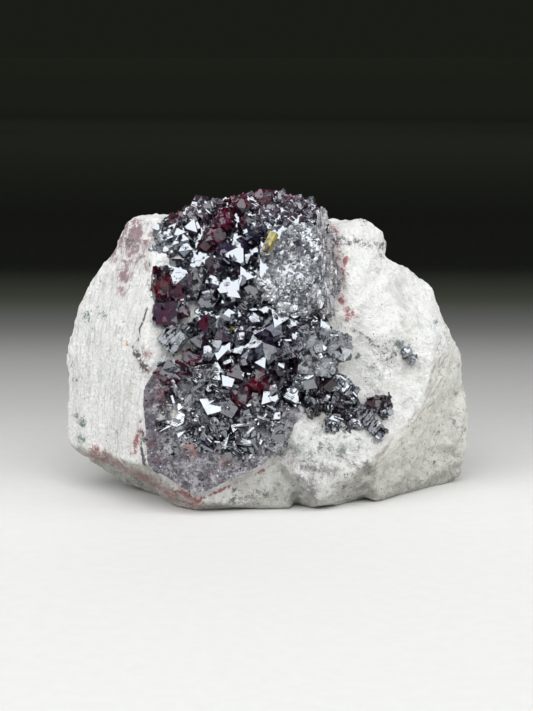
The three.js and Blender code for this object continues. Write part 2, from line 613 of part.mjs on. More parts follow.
// The largest closed body of a node; crumbs split off by the cuts are left out.
function mainBody(solid) {
  const bodies = solid.simplify(SLIVER).decompose();
  return bodies.reduce((best, body) => (body.volume() > best.volume() ? body : best));
}

const group = new THREE.Group();
for (const [name, solid, color, roughness] of BODIES) {
  const geometry = toGeometry(mainBody(solid));
  geometry.computeVertexNormals();
  const material = new THREE.MeshStandardMaterial({ color, roughness, metalness: 0 });
  const mesh = new THREE.Mesh(geometry, material);
  mesh.name = name;
  group.add(mesh);
}

// Origin at the middle of the base.
const bounds = new THREE.Box3().setFromObject(group);
const middle = bounds.getCenter(new THREE.Vector3());
for (const mesh of group.children) {
  mesh.geometry.translate(-middle.x, -middle.y, -bounds.min.z);
}

export default group;
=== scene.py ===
"""Cuprite on matrix: the visual model of the specimen, in metres, in the same frame as the CAD."""

import math
from itertools import combinations, permutations, product

import bpy
import numpy as np
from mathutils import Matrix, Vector
from mathutils.bvhtree import BVHTree


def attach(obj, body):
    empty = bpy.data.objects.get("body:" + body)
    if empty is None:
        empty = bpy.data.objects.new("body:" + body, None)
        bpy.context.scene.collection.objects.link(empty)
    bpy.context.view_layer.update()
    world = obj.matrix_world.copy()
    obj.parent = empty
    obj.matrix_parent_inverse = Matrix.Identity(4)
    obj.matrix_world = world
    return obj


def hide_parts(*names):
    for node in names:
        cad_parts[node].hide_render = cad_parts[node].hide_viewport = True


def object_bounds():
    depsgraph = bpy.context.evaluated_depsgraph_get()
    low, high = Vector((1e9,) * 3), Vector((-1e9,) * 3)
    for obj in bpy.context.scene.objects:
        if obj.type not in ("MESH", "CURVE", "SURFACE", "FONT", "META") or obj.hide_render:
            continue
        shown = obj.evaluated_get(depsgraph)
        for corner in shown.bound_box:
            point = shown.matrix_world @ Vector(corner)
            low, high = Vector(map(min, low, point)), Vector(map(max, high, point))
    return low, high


MM = 0.001
SHIFT = np.array([-0.22, -0.632, 0.0])  # measured positions to the frame, mm
TINY = 1e-9
VERY_THIN = 1e-12

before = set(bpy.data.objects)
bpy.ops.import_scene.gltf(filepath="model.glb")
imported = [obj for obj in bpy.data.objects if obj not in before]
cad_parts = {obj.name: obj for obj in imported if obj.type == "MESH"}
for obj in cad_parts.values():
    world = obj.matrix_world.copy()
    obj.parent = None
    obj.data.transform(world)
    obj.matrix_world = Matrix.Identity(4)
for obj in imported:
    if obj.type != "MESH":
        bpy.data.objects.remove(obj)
cad_low, cad_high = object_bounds()
BOX_LOW = np.array(cad_low) / MM
BOX_HIGH = np.array(cad_high) / MM


# Noise on arrays of points in millimetres.
CELL_FACTORS = (73856093, 19349663, 83492791)
SEED_FACTOR = 2654435761
HASH_FACTOR = 1274126177
SALT_FACTOR = 7919
MIX_FACTOR = 48271
HASH_MASK = 0x7FFFFFFF
SLOPE_SALTS = (1, 2, 3)
SPOT_SALTS = (4, 5, 6)
VALUE_SALT = 7
CORNERS = [np.array(step) for step in product((0, 1), repeat=3)]
NEIGHBOURS = [np.array(step) for step in product((-1, 0, 1), repeat=3)]
PERLIN_GAIN = 1.6
BEYOND_ANY_CELL = 9.0


def lattice_hash(cells, seed):
    x, y, z = (cells.astype(np.int64)[..., k] * CELL_FACTORS[k] for k in range(3))
    h = x ^ y ^ z ^ (seed * SEED_FACTOR)
    h = (h ^ (h >> 13)) * HASH_FACTOR
    return (h ^ (h >> 16)) & HASH_MASK


def random_from(h, salt):
    k = (h * (salt * 2 + 1) + salt * SALT_FACTOR) & HASH_MASK
    k = (k ^ (k >> 11)) * MIX_FACTOR & HASH_MASK
    return k / HASH_MASK


def randoms(h, salts):
    return np.stack([random_from(h, salt) for salt in salts], 1)


def perlin(points, span, seed=0):
    q = points / span
    base = np.floor(q)
    f = q - base
    u = f * f * f * (f * (f * 6 - 15) + 10)
    total = np.zeros(len(q))
    for corner in CORNERS:
        slope = randoms(lattice_hash(base + corner, seed), SLOPE_SALTS) * 2 - 1
        weight = np.abs(1 - corner - u).prod(1)
        total += weight * (slope * (f - corner)).sum(1)
    return total * PERLIN_GAIN


def fractal(points, span, octaves=4, seed=0, gain=0.5):
    total = np.zeros(len(points))
    scale = 1.0
    for i in range(octaves):
        total += scale * perlin(points, span / 2**i, seed + i)
        scale *= gain
    return total


def relief(points, kind):
    """Fractal noise of a kind given as its amount, span, number of octaves and seed."""
    amount, span, octaves, seed = kind
    return amount * fractal(points, span, octaves, seed)


def ridges(points, kind):
    """Noise with sharp crests, of a kind given as its amount, span and seed."""
    amount, span, seed = kind
    return amount * (0.5 - np.abs(perlin(points, span, seed)) * 2)


def nearby_cells(q, seed):
    """The cells around each point: their corners, their hashes and a random spot in each."""
    base = np.floor(q)
    for step in NEIGHBOURS:
        cell = base + step
        h = lattice_hash(cell, seed)
        yield cell, h, randoms(h, SPOT_SALTS)


def cellular(points, span, seed=0):
    """Distance to the nearest random point in units of the span, and that point's random value."""
    q = points / span
    best = np.full(len(q), BEYOND_ANY_CELL)
    value = np.zeros(len(q))
    for cell, h, spot in nearby_cells(q, seed):
        d = np.linalg.norm(q - (cell + spot), axis=1)
        near = d < best
        best = np.where(near, d, best)
        value = np.where(near, random_from(h, VALUE_SALT), value)
    return best, value


def tilted_grains(points, span, seed=0):
    """Height of a surface broken into small flat grains, each one tilted its own way."""
    q = points / span
    best = np.full(len(q), BEYOND_ANY_CELL)
    height = np.zeros(len(q))
    for cell, h, spot in nearby_cells(q, seed):
        offset = q - cell - spot
        slope = randoms(h, SLOPE_SALTS) * 2 - 1
        d = np.linalg.norm(offset, axis=1)
        near = d < best
        best = np.where(near, d, best)
        height = np.where(near, (offset * slope).sum(1) + random_from(h, VALUE_SALT) - 0.5, height)
    return height


def grained(points, kinds):
    """Layers of tilted grains, each given as its amount, span and seed."""
    return sum(amount * tilted_grains(points, span, seed) for amount, span, seed in kinds)


def smoothstep(low, high, x):
    t = np.clip((x - low) / (high - low), 0, 1)
    return t * t * (3 - 2 * t)


def stretched(points, direction, share):
    """The points with their spread along one direction cut to a share, for streaked noise."""
    along = np.array(direction, float)
    along /= np.linalg.norm(along)
    return points - np.outer(points @ along, along) * (1 - share)


# Mesh helpers.
WELD_DISTANCE = 0.01 * MM


def read(items, name, kind=float):
    values = np.empty(len(items) * 3, dtype=kind)
    items.foreach_get(name, values)
    return values.reshape(-1, 3)


def points_of(mesh):
    return read(mesh.vertices, "co") / MM


def set_points(mesh, points):
    mesh.vertices.foreach_set("co", (points * MM).ravel())
    mesh.update()


def normals_of(mesh):
    return read(mesh.vertex_normals, "vector")


def triangles_of(mesh):
    mesh.calc_loop_triangles()
    return read(mesh.loop_triangles, "vertices", np.int64)


def store(mesh, name, values, domain="POINT"):
    layer = mesh.attributes.get(name) or mesh.attributes.new(name, "FLOAT", domain)
    layer.data.foreach_set("value", np.asarray(values, dtype=np.float32))


def in_box(points):
    return np.clip(points, BOX_LOW, BOX_HIGH)


def make_object(name, mesh):
    obj = bpy.data.objects.new(name, mesh)
    bpy.context.scene.collection.objects.link(obj)
    return obj


def new_mesh(name, points, triangles):
    mesh = bpy.data.meshes.new(name)
    mesh.from_pydata((points * MM).tolist(), [], triangles.tolist())
    mesh.update()
    return mesh


def solid(node):
    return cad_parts[node].data


def copy_node(node, name):
    mesh = solid(node).copy()
    mesh.materials.clear()
    mesh.name = name
    return make_object(name, mesh)


def applied(obj):
    """Replaces the object's mesh with its evaluated mesh and drops the modifiers."""
    graph = bpy.context.evaluated_depsgraph_get()
    mesh = bpy.data.meshes.new_from_object(obj.evaluated_get(graph))
    old = obj.data
    obj.modifiers.clear()
    obj.data = mesh
    bpy.data.meshes.remove(old)


def remeshed(obj, voxel_mm, smooth_steps):
    weld = obj.modifiers.new("weld", "WELD")
    weld.merge_threshold = WELD_DISTANCE
    remesh = obj.modifiers.new("remesh", "REMESH")
    remesh.mode = "VOXEL"
    remesh.voxel_size = voxel_mm * MM
    soften = obj.modifiers.new("soften", "SMOOTH")
    soften.factor = 0.5
    soften.iterations = smooth_steps
    applied(obj)


def fine_copy(node, name, voxel_mm, smooth_steps):
    """A fine mesh of a node, with its points, its normals and its measured places."""
    obj = copy_node(node, name)
    remeshed(obj, voxel_mm, smooth_steps)
    p = points_of(obj.data)
    return obj, p, normals_of(obj.data), p - SHIFT


def smooth_shaded(mesh):
    mesh.polygons.foreach_set("use_smooth", np.ones(len(mesh.polygons), dtype=bool))


# Masks. Measured places hold x, z, radius and strength on the side that faces the camera.
def spot_mask(points, spots, power=2.0):
    total = np.zeros(len(points))
    for x, z, radius, strength in spots:
        d = np.hypot(points[:, 0] - SHIFT[0] - x, points[:, 2] - z) / radius
        total = np.maximum(total, strength * np.exp(-(d**power)))
    return total


def line_mask(points, path, width):
    q = points[:, [0, 2]] - SHIFT[[0, 2]]
    best = np.full(len(q), np.inf)
    for a, b in zip(path[:-1], path[1:]):
        a, b = np.array(a, float), np.array(b, float)
        t = np.clip(((q - a) @ (b - a)) / max(((b - a) ** 2).sum(), TINY), 0, 1)
        best = np.minimum(best, np.linalg.norm(q - (a + t[:, None] * (b - a)), axis=1))
    return np.exp(-((best / width) ** 2))


def stain_mask(points, name):
    mask = spot_mask(points, STAIN_SPOTS[name])
    for path, width, strength in STAIN_LINES.get(name, []):
        mask = np.maximum(mask, strength * line_mask(points, path, width))
    return mask


def between(low, high, x, soft=0.4):
    return smoothstep(low - soft, low + soft, x) * smoothstep(high + soft, high - soft, x)


# Rock.
ROCK_VOXEL = 0.37
JOINT_NORMAL = np.array([-0.74, -0.63, 0.24])
JOINT_GRAIN = (0.1, 0.12, 0.98)
JOINT_STRETCH = 0.12
LIP_DIRECTION = (0.64, 0.5, 0.58)
LIP_STRETCH = 0.08
LIP_Z = [1.8, 7.2, 10.7, 14.7, 21.0, 24.0]
LIP_X = [11.1, 15.0, 19.5, 23.3, 24.3, 26.5]
SEAT_REACH = 0.75
SEAT_BITE = 0.06
# Relief as amount, span, octaves and seed. The ridges and chips have no octaves.
ROCK_BREAK = (0.45, 6.0, 3, 11)
ROCK_RIDGES = (0.17, 3.0, 21)
ROCK_CHIPS = (0.12, 1.4, 31)
ROCK_SUGAR = (0.1, 0.9, 2, 41)
JOINT_STREAKS = (0.13, 1.1, 3, 51)
LIP_STREAKS = (0.2, 0.9, 3, 53)
ROCK_GRIT = (0.3, 1.9, 3, 55)
PIT_CELLS = (2.2, 61)
PIT_DEPTH = 0.32
PIT_RARITY = 0.62
BASE_FADE = 1.2

# Stains on the front of the rock, as measured places.
STAIN_SPOTS = {
    "red": [
        (9.8, 39, 0.9, 0.75), (11.2, 35.4, 1, 0.75), (11.4, 33.4, 0.9, 0.72), (10.6, 31.3, 0.9, 0.8),
        (10.5, 29.4, 1.1, 0.8), (12.4, 27.4, 1.3, 0.68), (-19.4, 8.8, 0.9, 0.85),
        (-21.8, 10.7, 0.4, 0.7), (5.9, 4.4, 0.9, 0.5), (2.4, 10.6, 0.8, 0.5), (-16.9, 22.5, 0.9, 0.4),
    ],
    "plum": [
        (-20, 39.4, 2, 1), (-21.8, 37.6, 1.8, 0.95), (-22.9, 35.6, 1.5, 0.75), (-18.2, 38.8, 2, 0.95),
        (-20.4, 35.4, 2, 0.75), (-20.9, 32.8, 1.5, 0.8), (-21.2, 30.6, 1.1, 0.6),
        (-18.4, 35.4, 1.7, 0.6), (-20.2, 37.2, 3.4, 0.8), (-17.8, 22.6, 1.6, 0.55),
        (-17.4, 20.6, 1.1, 0.55), (5.9, 4.2, 1.4, 0.75), (8.4, 6.6, 1.2, 0.6),
    ],
    "green": [
        (25.4, 25.1, 0.5, 0.7), (13.3, 21.5, 0.5, 0.95), (19, 21.9, 0.8, 0.75), (12.8, 17.5, 0.5, 0.85),
        (14.3, 18.5, 0.5, 0.65), (19.4, 22.9, 0.9, 0.7), (10.9, 8.8, 0.75, 1.1), (6.1, 8.4, 0.8, 0.85),
        (-26.8, 26.1, 1.2, 0.55), (-24.5, 27.3, 1.2, 0.5), (-29.3, 18.8, 0.9, 0.5),
        (-28.5, 16.1, 0.9, 0.55), (-28.6, 11.3, 0.8, 0.5), (-27.4, 10.5, 1, 0.6),
        (-27.9, 8.2, 1.3, 0.52), (19.8, 27, 0.5, 0.5), (-15.2, 21.4, 0.8, 0.6), (24.6, 6.4, 1.6, 0.45),
        (8, 10.4, 3, 0.47), (4.5, 9.5, 2.2, 0.48), (16.4, 19.4, 3, 0.3),
    ],
    "dark": [
        (17.5, 21.5, 4.2, 0.4), (15, 17, 3, 0.32), (-18.5, 22.4, 1.1, 0.82), (-17.4, 21, 1, 0.75),
        (25.9, 8.7, 0.5, 0.75), (28.3, 10, 0.45, 0.75), (23.7, 6.6, 0.4, 0.7), (25.2, 4.2, 0.5, 0.75),
        (15.5, 3.5, 0.5, 0.75), (14.4, 6.3, 1, 0.85), (5.8, 4, 1.3, 0.75), (-4.5, 3.3, 0.6, 0.65),
        (1.2, 3.1, 0.5, 0.6), (14.5, 40.1, 0.8, 0.6), (16.6, 34.9, 1.1, 0.55), (13.1, 26.9, 0.6, 0.8),
        (-23.4, 36, 0.9, 0.55), (9, 13, 1.4, 0.45), (22, 12, 3, 0.3), (-20.4, 37.4, 2, 0.5),
        (-8, 2, 0.8, 0.5), (6, 5, 3.5, 0.42), (10, 7, 3.2, 0.4), (2, 8.6, 1.2, 0.55),
        (-20.4, 5.4, 1.2, 0.5), (-15.3, 4, 1.2, 0.5), (-3, 2.4, 2.6, 0.4),
    ],
    "ochre": [(-20.1, 23.6, 0.35, 1), (-3, 4.4, 0.3, 0.5)],
}
# Lines of a stain: their corners, width and strength.
STAIN_LINES = {
    "red": [
        ([(-24.9, 6.2), (-20.4, 4.7), (-15.3, 3.2), (-10.2, 1.1)], 1.5, 1.1),
        ([(-10.2, 1.8), (-3.8, 4.6), (-0.9, 5.9), (1.4, 7.2)], 0.28, 0.72),
        ([(-17.8, 13.4), (-18.6, 10.2), (-19.6, 8.4)], 0.5, 0.7),
        ([(10.2, 37.5), (11.3, 35.0), (10.9, 32.0), (10.7, 29.5), (12.6, 27.2)], 0.65, 0.55),
    ],
    "plum": [
        ([(-17.4, 34.2), (-18.2, 37.4)], 0.5, 0.6),
        ([(4.3, 6.6), (9.9, 5.9)], 0.9, 0.5),
        ([(4.6, 9.8), (3.4, 7.4), (6.6, 3.0)], 0.9, 0.55),
    ],
    "dark": [
        ([(10.2, 37.9), (13.8, 37.4), (17.8, 36.5)], 0.9, 0.55),
        ([(-16.9, 35.1), (-17.3, 33.0), (-17.0, 31.6), (-17.6, 29.8)], 0.12, 0.8),
        ([(-17.2, 28.9), (-17.7, 27.2), (-18.3, 26.0), (-18.1, 25.0), (-19.4, 23.4)], 0.13, 1.05),
        ([(-17.8, 11.8), (-17.9, 9.2), (-17.5, 7.0)], 0.3, 0.95),
        ([(4.3, 6.8), (9.9, 6.0)], 0.7, 0.62),
        ([(4.4, 5.6), (6.8, 3.2)], 0.8, 0.7),
        ([(-6.0, 1.6), (-1.5, 2.6), (3.0, 2.2)], 1.1, 0.55),
        ([(12.0, 25.6), (15.0, 24.0), (16.2, 22.4)], 0.3, 0.7),
    ],
}


def past_lip(q):
    """How far a point lies to the right of the edge of the ledge."""
    return q[:, 0] - np.interp(q[:, 2], LIP_Z, LIP_X)


def settled(points, nodes):
    """Draws the walls of the seats in until they touch the crystals that grow there."""
    verts, faces = [], []
    for node in nodes:
        mesh = solid(node)
        offset = len(verts)
        verts.extend(points_of(mesh).tolist())
        faces.extend((triangles_of(mesh) + offset).tolist())
    tree = BVHTree.FromPolygons(verts, faces)
    out = points.copy()
    for i, point in enumerate(points):
        hit, _, _, distance = tree.find_nearest(Vector(point), SEAT_REACH)
        if hit is not None and distance > 1e-4:
            pull = float(smoothstep(SEAT_REACH, SEAT_REACH * 0.6, np.array(distance)))
            out[i] += (np.array(hit) - point) * pull * (1 + SEAT_BITE / distance)
    return out


def dress_rock():
    obj, p, n, q = fine_copy("matrix", "matrix_rock", ROCK_VOXEL, 2)
    mesh = obj.data
    front = smoothstep(0.15, -0.2, n[:, 1])
    joint = smoothstep(0.8, 0.92, n @ JOINT_NORMAL) * smoothstep(-14, -16.5, q[:, 0])
    wall = front * between(-17.6, -8, q[:, 0], 0.8) * between(22, 38, q[:, 2], 1.0)
    lower_right = smoothstep(-0.1, 0.5, past_lip(q)) * front
    lip = lower_right * smoothstep(4.6, 1.8, past_lip(q))
    calm = 1 - np.maximum(0.75 * joint, 0.9 * wall)

    move = (relief(p, ROCK_BREAK) + ridges(p, ROCK_RIDGES) + ridges(p, ROCK_CHIPS)) * calm
    move += relief(p, ROCK_SUGAR) * (1 - 0.7 * wall)
    move += relief(stretched(p, JOINT_GRAIN, JOINT_STRETCH), JOINT_STREAKS) * joint
    move += relief(stretched(p, LIP_DIRECTION, LIP_STRETCH), LIP_STREAKS) * lip
    under = smoothstep(0.05, -0.35, n[:, 2]) * smoothstep(9, 5, q[:, 2])
    tongue = between(2.5, 15.5, q[:, 0], 1.0) * between(2, 11, q[:, 2], 1.5) * front
    gritty = np.maximum(np.maximum(under, 0.7 * (lower_right - lip)), tongue)
    move += relief(p, ROCK_GRIT) * gritty
    pit, chosen = cellular(p, *PIT_CELLS)
    move -= PIT_DEPTH * smoothstep(0.28, 0.08, pit) * (chosen > PIT_RARITY) * calm
    p = p + n * (move * smoothstep(0.0, BASE_FADE, p[:, 2]))[:, None]
    p = in_box(settled(p, [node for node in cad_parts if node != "matrix"]))
    set_points(mesh, p)

    for name in STAIN_SPOTS:
        store(mesh, "stain_" + name, stain_mask(p, name) * front)
    beige = np.maximum(0.75 * lower_right * smoothstep(24, 17, q[:, 2]), 1.3 * under)
    store(mesh, "weathered", np.clip(beige, 0, 1.3))
    store(mesh, "under", under)
    store(mesh, "gritty", gritty)
    store(mesh, "joint", joint)
    store(mesh, "lip", lip)
    # Painted shade: where the surface was pushed in, for darkening the recesses in the colour.
    store(mesh, "hollow_shade", smoothstep(0.02, -0.42, move))
    smooth_shaded(mesh)
    return obj


# Crystal habits. Each is the corners of a convex body, its triangles and the flat face of each.
ON_THE_PLANE = 1e-6
SAME_WAY = 0.9999


def convex(corners):
    points = np.array(corners, float)
    triangles, flats, normals = [], [], []
    for trio in combinations(range(len(points)), 3):
        a, b, c = points[list(trio)]
        normal = np.cross(b - a, c - a)
        length = np.linalg.norm(normal)
        if length < TINY:
            continue
        normal /= length
        height = (points - a) @ normal
        if height.max() > ON_THE_PLANE:
            normal, height = -normal, -height
        if height.max() > ON_THE_PLANE or any(normal @ known > SAME_WAY for known in normals):
            continue
        rim = np.flatnonzero(np.abs(height) < ON_THE_PLANE)
        spokes = points[rim] - points[rim].mean(0)
        angle = np.arctan2(np.cross(spokes[0], spokes) @ normal, spokes @ spokes[0])
        rim = rim[np.argsort(angle)]
        for i in range(1, len(rim) - 1):
            triangles.append((rim[0], rim[i], rim[i + 1]))
            flats.append(len(normals))
        normals.append(normal)
    return points, np.array(triangles), np.array(flats)


def tips(cut):
    """Corners of an octahedron, or of one whose six tips are cut by cube faces."""
    corners = set()
    for axis, other in permutations(range(3), 2):
        for sign, side in product((-1, 1), repeat=2):
            corner = [0.0, 0.0, 0.0]
            corner[axis] = sign * cut
            corner[other] = side * (1 - cut)
            corners.add(tuple(corner))
    return sorted(corners)


def block(deep, wide, tall):
    return list(product((-deep, deep), (-wide, wide), (-tall, tall)))


def slab(outline, half):
    return [(x, y, z) for x, y in outline for z in (-half, half)]


OCTAHEDRON = convex(tips(1.0))
CUT_OCTAHEDRON = convex(tips(0.78))
CUBE_AND_OCTAHEDRON = convex(tips(0.55))
BLOCK = convex(block(0.55, 0.65, 0.85))
BLADE = convex(block(0.16, 0.55, 1.0))
CHIP = convex(block(0.3, 0.34, 1.0))
SPLINTER = convex(block(0.14, 0.2, 1.0))
PLATE_OUTLINES = [
    [(1.0, 0.1), (0.4, 0.75), (-0.5, 0.7), (-0.95, -0.1), (-0.2, -0.8), (0.6, -0.65)],
    [(1.0, -0.2), (0.1, 0.9), (-0.9, 0.35), (-0.6, -0.7)],
    [(0.95, 0.35), (-0.85, 0.5), (-0.1, -0.9)],
]
PLATE_HALF = 0.13
PLATES = [convex(slab(outline, PLATE_HALF)) for outline in PLATE_OUTLINES]


def random_turns(rng, normals):
    q = rng.normal(size=(len(normals), 4))
    q /= np.linalg.norm(q, axis=1)[:, None]
    w, x, y, z = q.T
    return np.stack([
        1 - 2 * (y * y + z * z), 2 * (x * y - z * w), 2 * (x * z + y * w),
        2 * (x * y + z * w), 1 - 2 * (x * x + z * z), 2 * (y * z - x * w),
        2 * (x * z - y * w), 2 * (y * z + x * w), 1 - 2 * (x * x + y * y),
    ], 1).reshape(-1, 3, 3)


PLATE_LEAN = 0.13


def lying_turns(rng, normals, spread=PLATE_LEAN):
    """Rotations that turn the third axis of a crystal near the direction given for each."""
    long = normals + rng.normal(size=normals.shape) * spread
    long /= np.linalg.norm(long, axis=1)[:, None]
    side = np.cross(long, rng.normal(size=normals.shape))
    side /= np.linalg.norm(side, axis=1)[:, None]
    return np.stack([side, np.cross(long, side), long], 2)


# Crystals stand on faces that look to the front or up. Many more places are tried than kept.
OVERSAMPLE = 14
OVERSAMPLE_ON_ROCK = 1500
LEAN = -0.1
LOOKS_UP = 0.6
NEVER_NONE = 1e-6
SMALL_BIAS = 1.8
OWN_TONE = 0.45
FACET_TONE = 0.55


def scattered(mesh, rng, count, sizes, zone, lean=LEAN, sink=0.2, oversample=OVERSAMPLE):
    """Places on the outside of a mesh, dense where the zone is high, with sizes mostly small."""
    p = points_of(mesh)
    tri = triangles_of(mesh)
    a, b, c = p[tri[:, 0]], p[tri[:, 1]], p[tri[:, 2]]
    normal = np.cross(b - a, c - a)
    area = np.linalg.norm(normal, axis=1) / 2
    normal /= np.maximum(area * 2, VERY_THIN)[:, None]
    weight = area * ((normal[:, 1] < lean) | (normal[:, 2] > LOOKS_UP))
    tries = count * oversample
    pick = rng.choice(len(tri), size=tries, p=weight / weight.sum())
    r1, r2 = np.sqrt(rng.random(tries))[:, None], rng.random(tries)[:, None]
    spot = a[pick] * (1 - r1) + b[pick] * (r1 * (1 - r2)) + c[pick] * (r1 * r2)
    share = zone(spot - SHIFT) + NEVER_NONE
    keep = rng.choice(tries, size=count, replace=False, p=share / share.sum())
    size = sizes[0] + (sizes[1] - sizes[0]) * rng.random(count) ** SMALL_BIAS
    out = normal[pick[keep]]
    return spot[keep] - out * (size * sink)[:, None], size, out


def grown(spots, sizes, turns, rng, habit, stretch=0.5):
    """Crystals of one habit as points, triangles, a tone for each triangle and its flat face."""
    points, triangles, flats = habit
    scale = sizes[:, None] * (1 + stretch * (rng.random((len(spots), 3)) - 0.5))
    world = np.einsum("nij,nkj->nki", turns, points[None] * scale[:, None, :]) + spots[:, None, :]
    index = triangles[None] + (np.arange(len(spots)) * len(points))[:, None, None]
    crystal = np.repeat(np.arange(len(spots)), len(triangles))
    own = rng.random(len(spots))[crystal]
    facet = rng.random((len(spots), flats.max() + 1))[:, flats].ravel()
    tone = OWN_TONE * own + FACET_TONE * facet
    return world.reshape(-1, 3), index.reshape(-1, 3), tone, crystal


def single(place, length, turn, rng, habit):
    return grown(np.array([place]) + SHIFT, np.array([length]), turn, rng, habit, 0.0)


def sprinkled(mesh, rng, count, sizes, zone, habit, sink=0.2, turns=random_turns, **places):
    spots, size, normals = scattered(mesh, rng, count, sizes, zone, sink=sink, **places)
    return grown(spots, size, turns(rng, normals), rng, habit)


def sprinkled_rows(mesh, rng, rows, **places):
    return [sprinkled(mesh, rng, *row, **places) for row in rows]


PLATE_SINK = 0.04


def plated(mesh, rng, count, sizes, zone, lean=LEAN, spread=PLATE_LEAN):
    """Thin growth plates that lie on the faces of larger crystals and break them up."""
    def turns(rng, normals):
        return lying_turns(rng, normals, spread)

    return [
        sprinkled(mesh, rng, count // len(PLATES), sizes, zone, habit, PLATE_SINK, turns, lean=lean)
        for habit in PLATES
    ]


# Triangles belong to one flat face where their directions and distances round to the same steps.
STEPS_A_MM = 4
STEPS_OF_DIRECTION = 24
KEY_FACTOR = 31
FACE_SEED = 5
FACE_SALT = 9


def flat_faces(points, triangles):
    """A tone and a number for every flat face of a solid, from its direction and distance."""
    a, b, c = (points[triangles[:, i]] for i in range(3))
    n = np.cross(b - a, c - a)
    n /= np.maximum(np.linalg.norm(n, axis=1), VERY_THIN)[:, None]
    offset = np.round((n * a).sum(1) * STEPS_A_MM)
    cells = np.round(n * STEPS_OF_DIRECTION)
    key = np.stack([cells[:, 0] + offset * KEY_FACTOR, cells[:, 1], cells[:, 2]], 1)
    _, number = np.unique(key, axis=0, return_inverse=True)
    return random_from(lattice_hash(key, FACE_SEED), FACE_SALT), number.ravel()


TINTS = {
    "red": [
        (-15.2, 32.3, 1.5, 1), (-10.9, 32.7, 1.1, 0.9), (-12.9, 31.2, 1.2, 0.7), (-7.7, 38.4, 2.1, 0.9),
        (-6.2, 40.4, 1.8, 0.95), (-4, 43, 2.2, 0.9), (0, 44.9, 1.9, 0.85), (-3.4, 41.2, 1.2, 0.8),
        (-13.4, 42, 1.3, 0.75), (-11.4, 21.4, 1.7, 1.1), (-0.9, 18.8, 1.7, 1.1),
        (-3.9, 17.2, 2.1, 0.95), (-8.6, 26.4, 1.1, 0.8), (3.4, 44.2, 1.2, 0.6), (15.2, 15.2, 0.8, 0.9),
        (-5, 21, 1.2, 0.7), (-6.3, 24.8, 1, 0.6), (-12.6, 19.5, 1, 0.8), (-14.6, 18.4, 1.6, 0.8),
        (-15.4, 20.2, 1.2, 0.7),
    ],
    "violet": [
        (-1.6, 38.2, 2.2, 1), (-5.9, 36.1, 1.7, 0.8), (0.8, 25.8, 1.4, 0.7), (0.4, 18.4, 1.2, 0.6),
    ],
    "magenta": [(-6.6, 40.9, 1, 1), (-9.4, 39.4, 0.9, 0.7)],
    "rim": [
        (9.2, 28, 1.4, 1), (9.5, 30.4, 1.6, 1), (9.7, 33, 1.6, 1), (9.6, 35.6, 1.6, 1),
        (9.3, 38.2, 1.6, 1), (8.6, 40.6, 1.8, 1),
    ],
    "pale": [(-13.1, 15.1, 1.3, 1)],
    "yellow": [(0.5, 38.3, 0.75, 1), (-5, 26.3, 0.5, 1)],
    "plum": [(-14.3, 28.2, 1.9, 1), (-11.7, 28.7, 1.2, 0.8), (-12.6, 30.6, 1.1, 0.6)],
    "brown": [
        (16.6, 15.8, 1.9, 1), (14.6, 14, 1.2, 1), (14.2, 11.8, 1.2, 1), (11.4, 12.6, 1, 1),
        (8, 17.2, 0.9, 1), (10.6, 15, 1, 1), (6.8, 14.2, 0.9, 1), (12, 17.6, 0.9, 1), (5, 17.4, 0.8, 1),
        (9.4, 19, 0.8, 1), (2.6, 20.4, 0.8, 1), (-3.4, 23.6, 0.9, 1), (-4.2, 33.4, 1, 1),
        (-8, 34.6, 0.9, 1), (4.6, 22, 0.8, 1), (-9.6, 24.4, 0.9, 1),
    ],
    "striped": [(-13.3, 24.9, 2, 1), (10.9, 17.9, 1.6, 0.7), (14.6, 12.4, 2.2, 0.7)],
    "lilac": [
        (-11, 42.4, 2.6, 0.8), (-8.4, 42.4, 2.2, 0.8), (-1, 43.6, 3, 0.9), (3.6, 42.8, 2.6, 0.9),
        (6.6, 41.2, 2.4, 0.9), (1.6, 41.2, 1.6, 0.7), (-13.6, 40.8, 1.6, 0.7), (15.6, 14.4, 2.4, 0.5),
        (-4.6, 39, 1, 0.5), (5.4, 24.6, 2, 0.4), (5.8, 29.6, 1.6, 0.5),
    ],
    "steel": [
        (-12.8, 25.2, 2.3, 0.8), (9, 22.8, 3.6, 1), (6.6, 24.4, 2, 0.9), (-11, 17, 2.6, 0.8),
        (-8.4, 14.6, 2.4, 0.7), (-1, 12.6, 2.4, 0.7), (-12.4, 13, 2.2, 0.7), (6.8, 20.6, 2.6, 0.6),
        (0.2, 22.8, 1.4, 0.7), (20.9, 21.1, 2, 0.7), (-8.2, 20.4, 1.6, 0.6), (4, 18, 1.5, 0.5),
        (-14.6, 37.2, 1.6, 0.6), (1.2, 13.6, 1.8, 0.8),
    ],
}
# Faces with these tints take the second material, which mirrors less.
CLEAR_TINTS = ("red", "violet", "magenta", "yellow", "plum", "brown")
CLEAR_FROM = 0.5
TINT_EDGE = 3.0


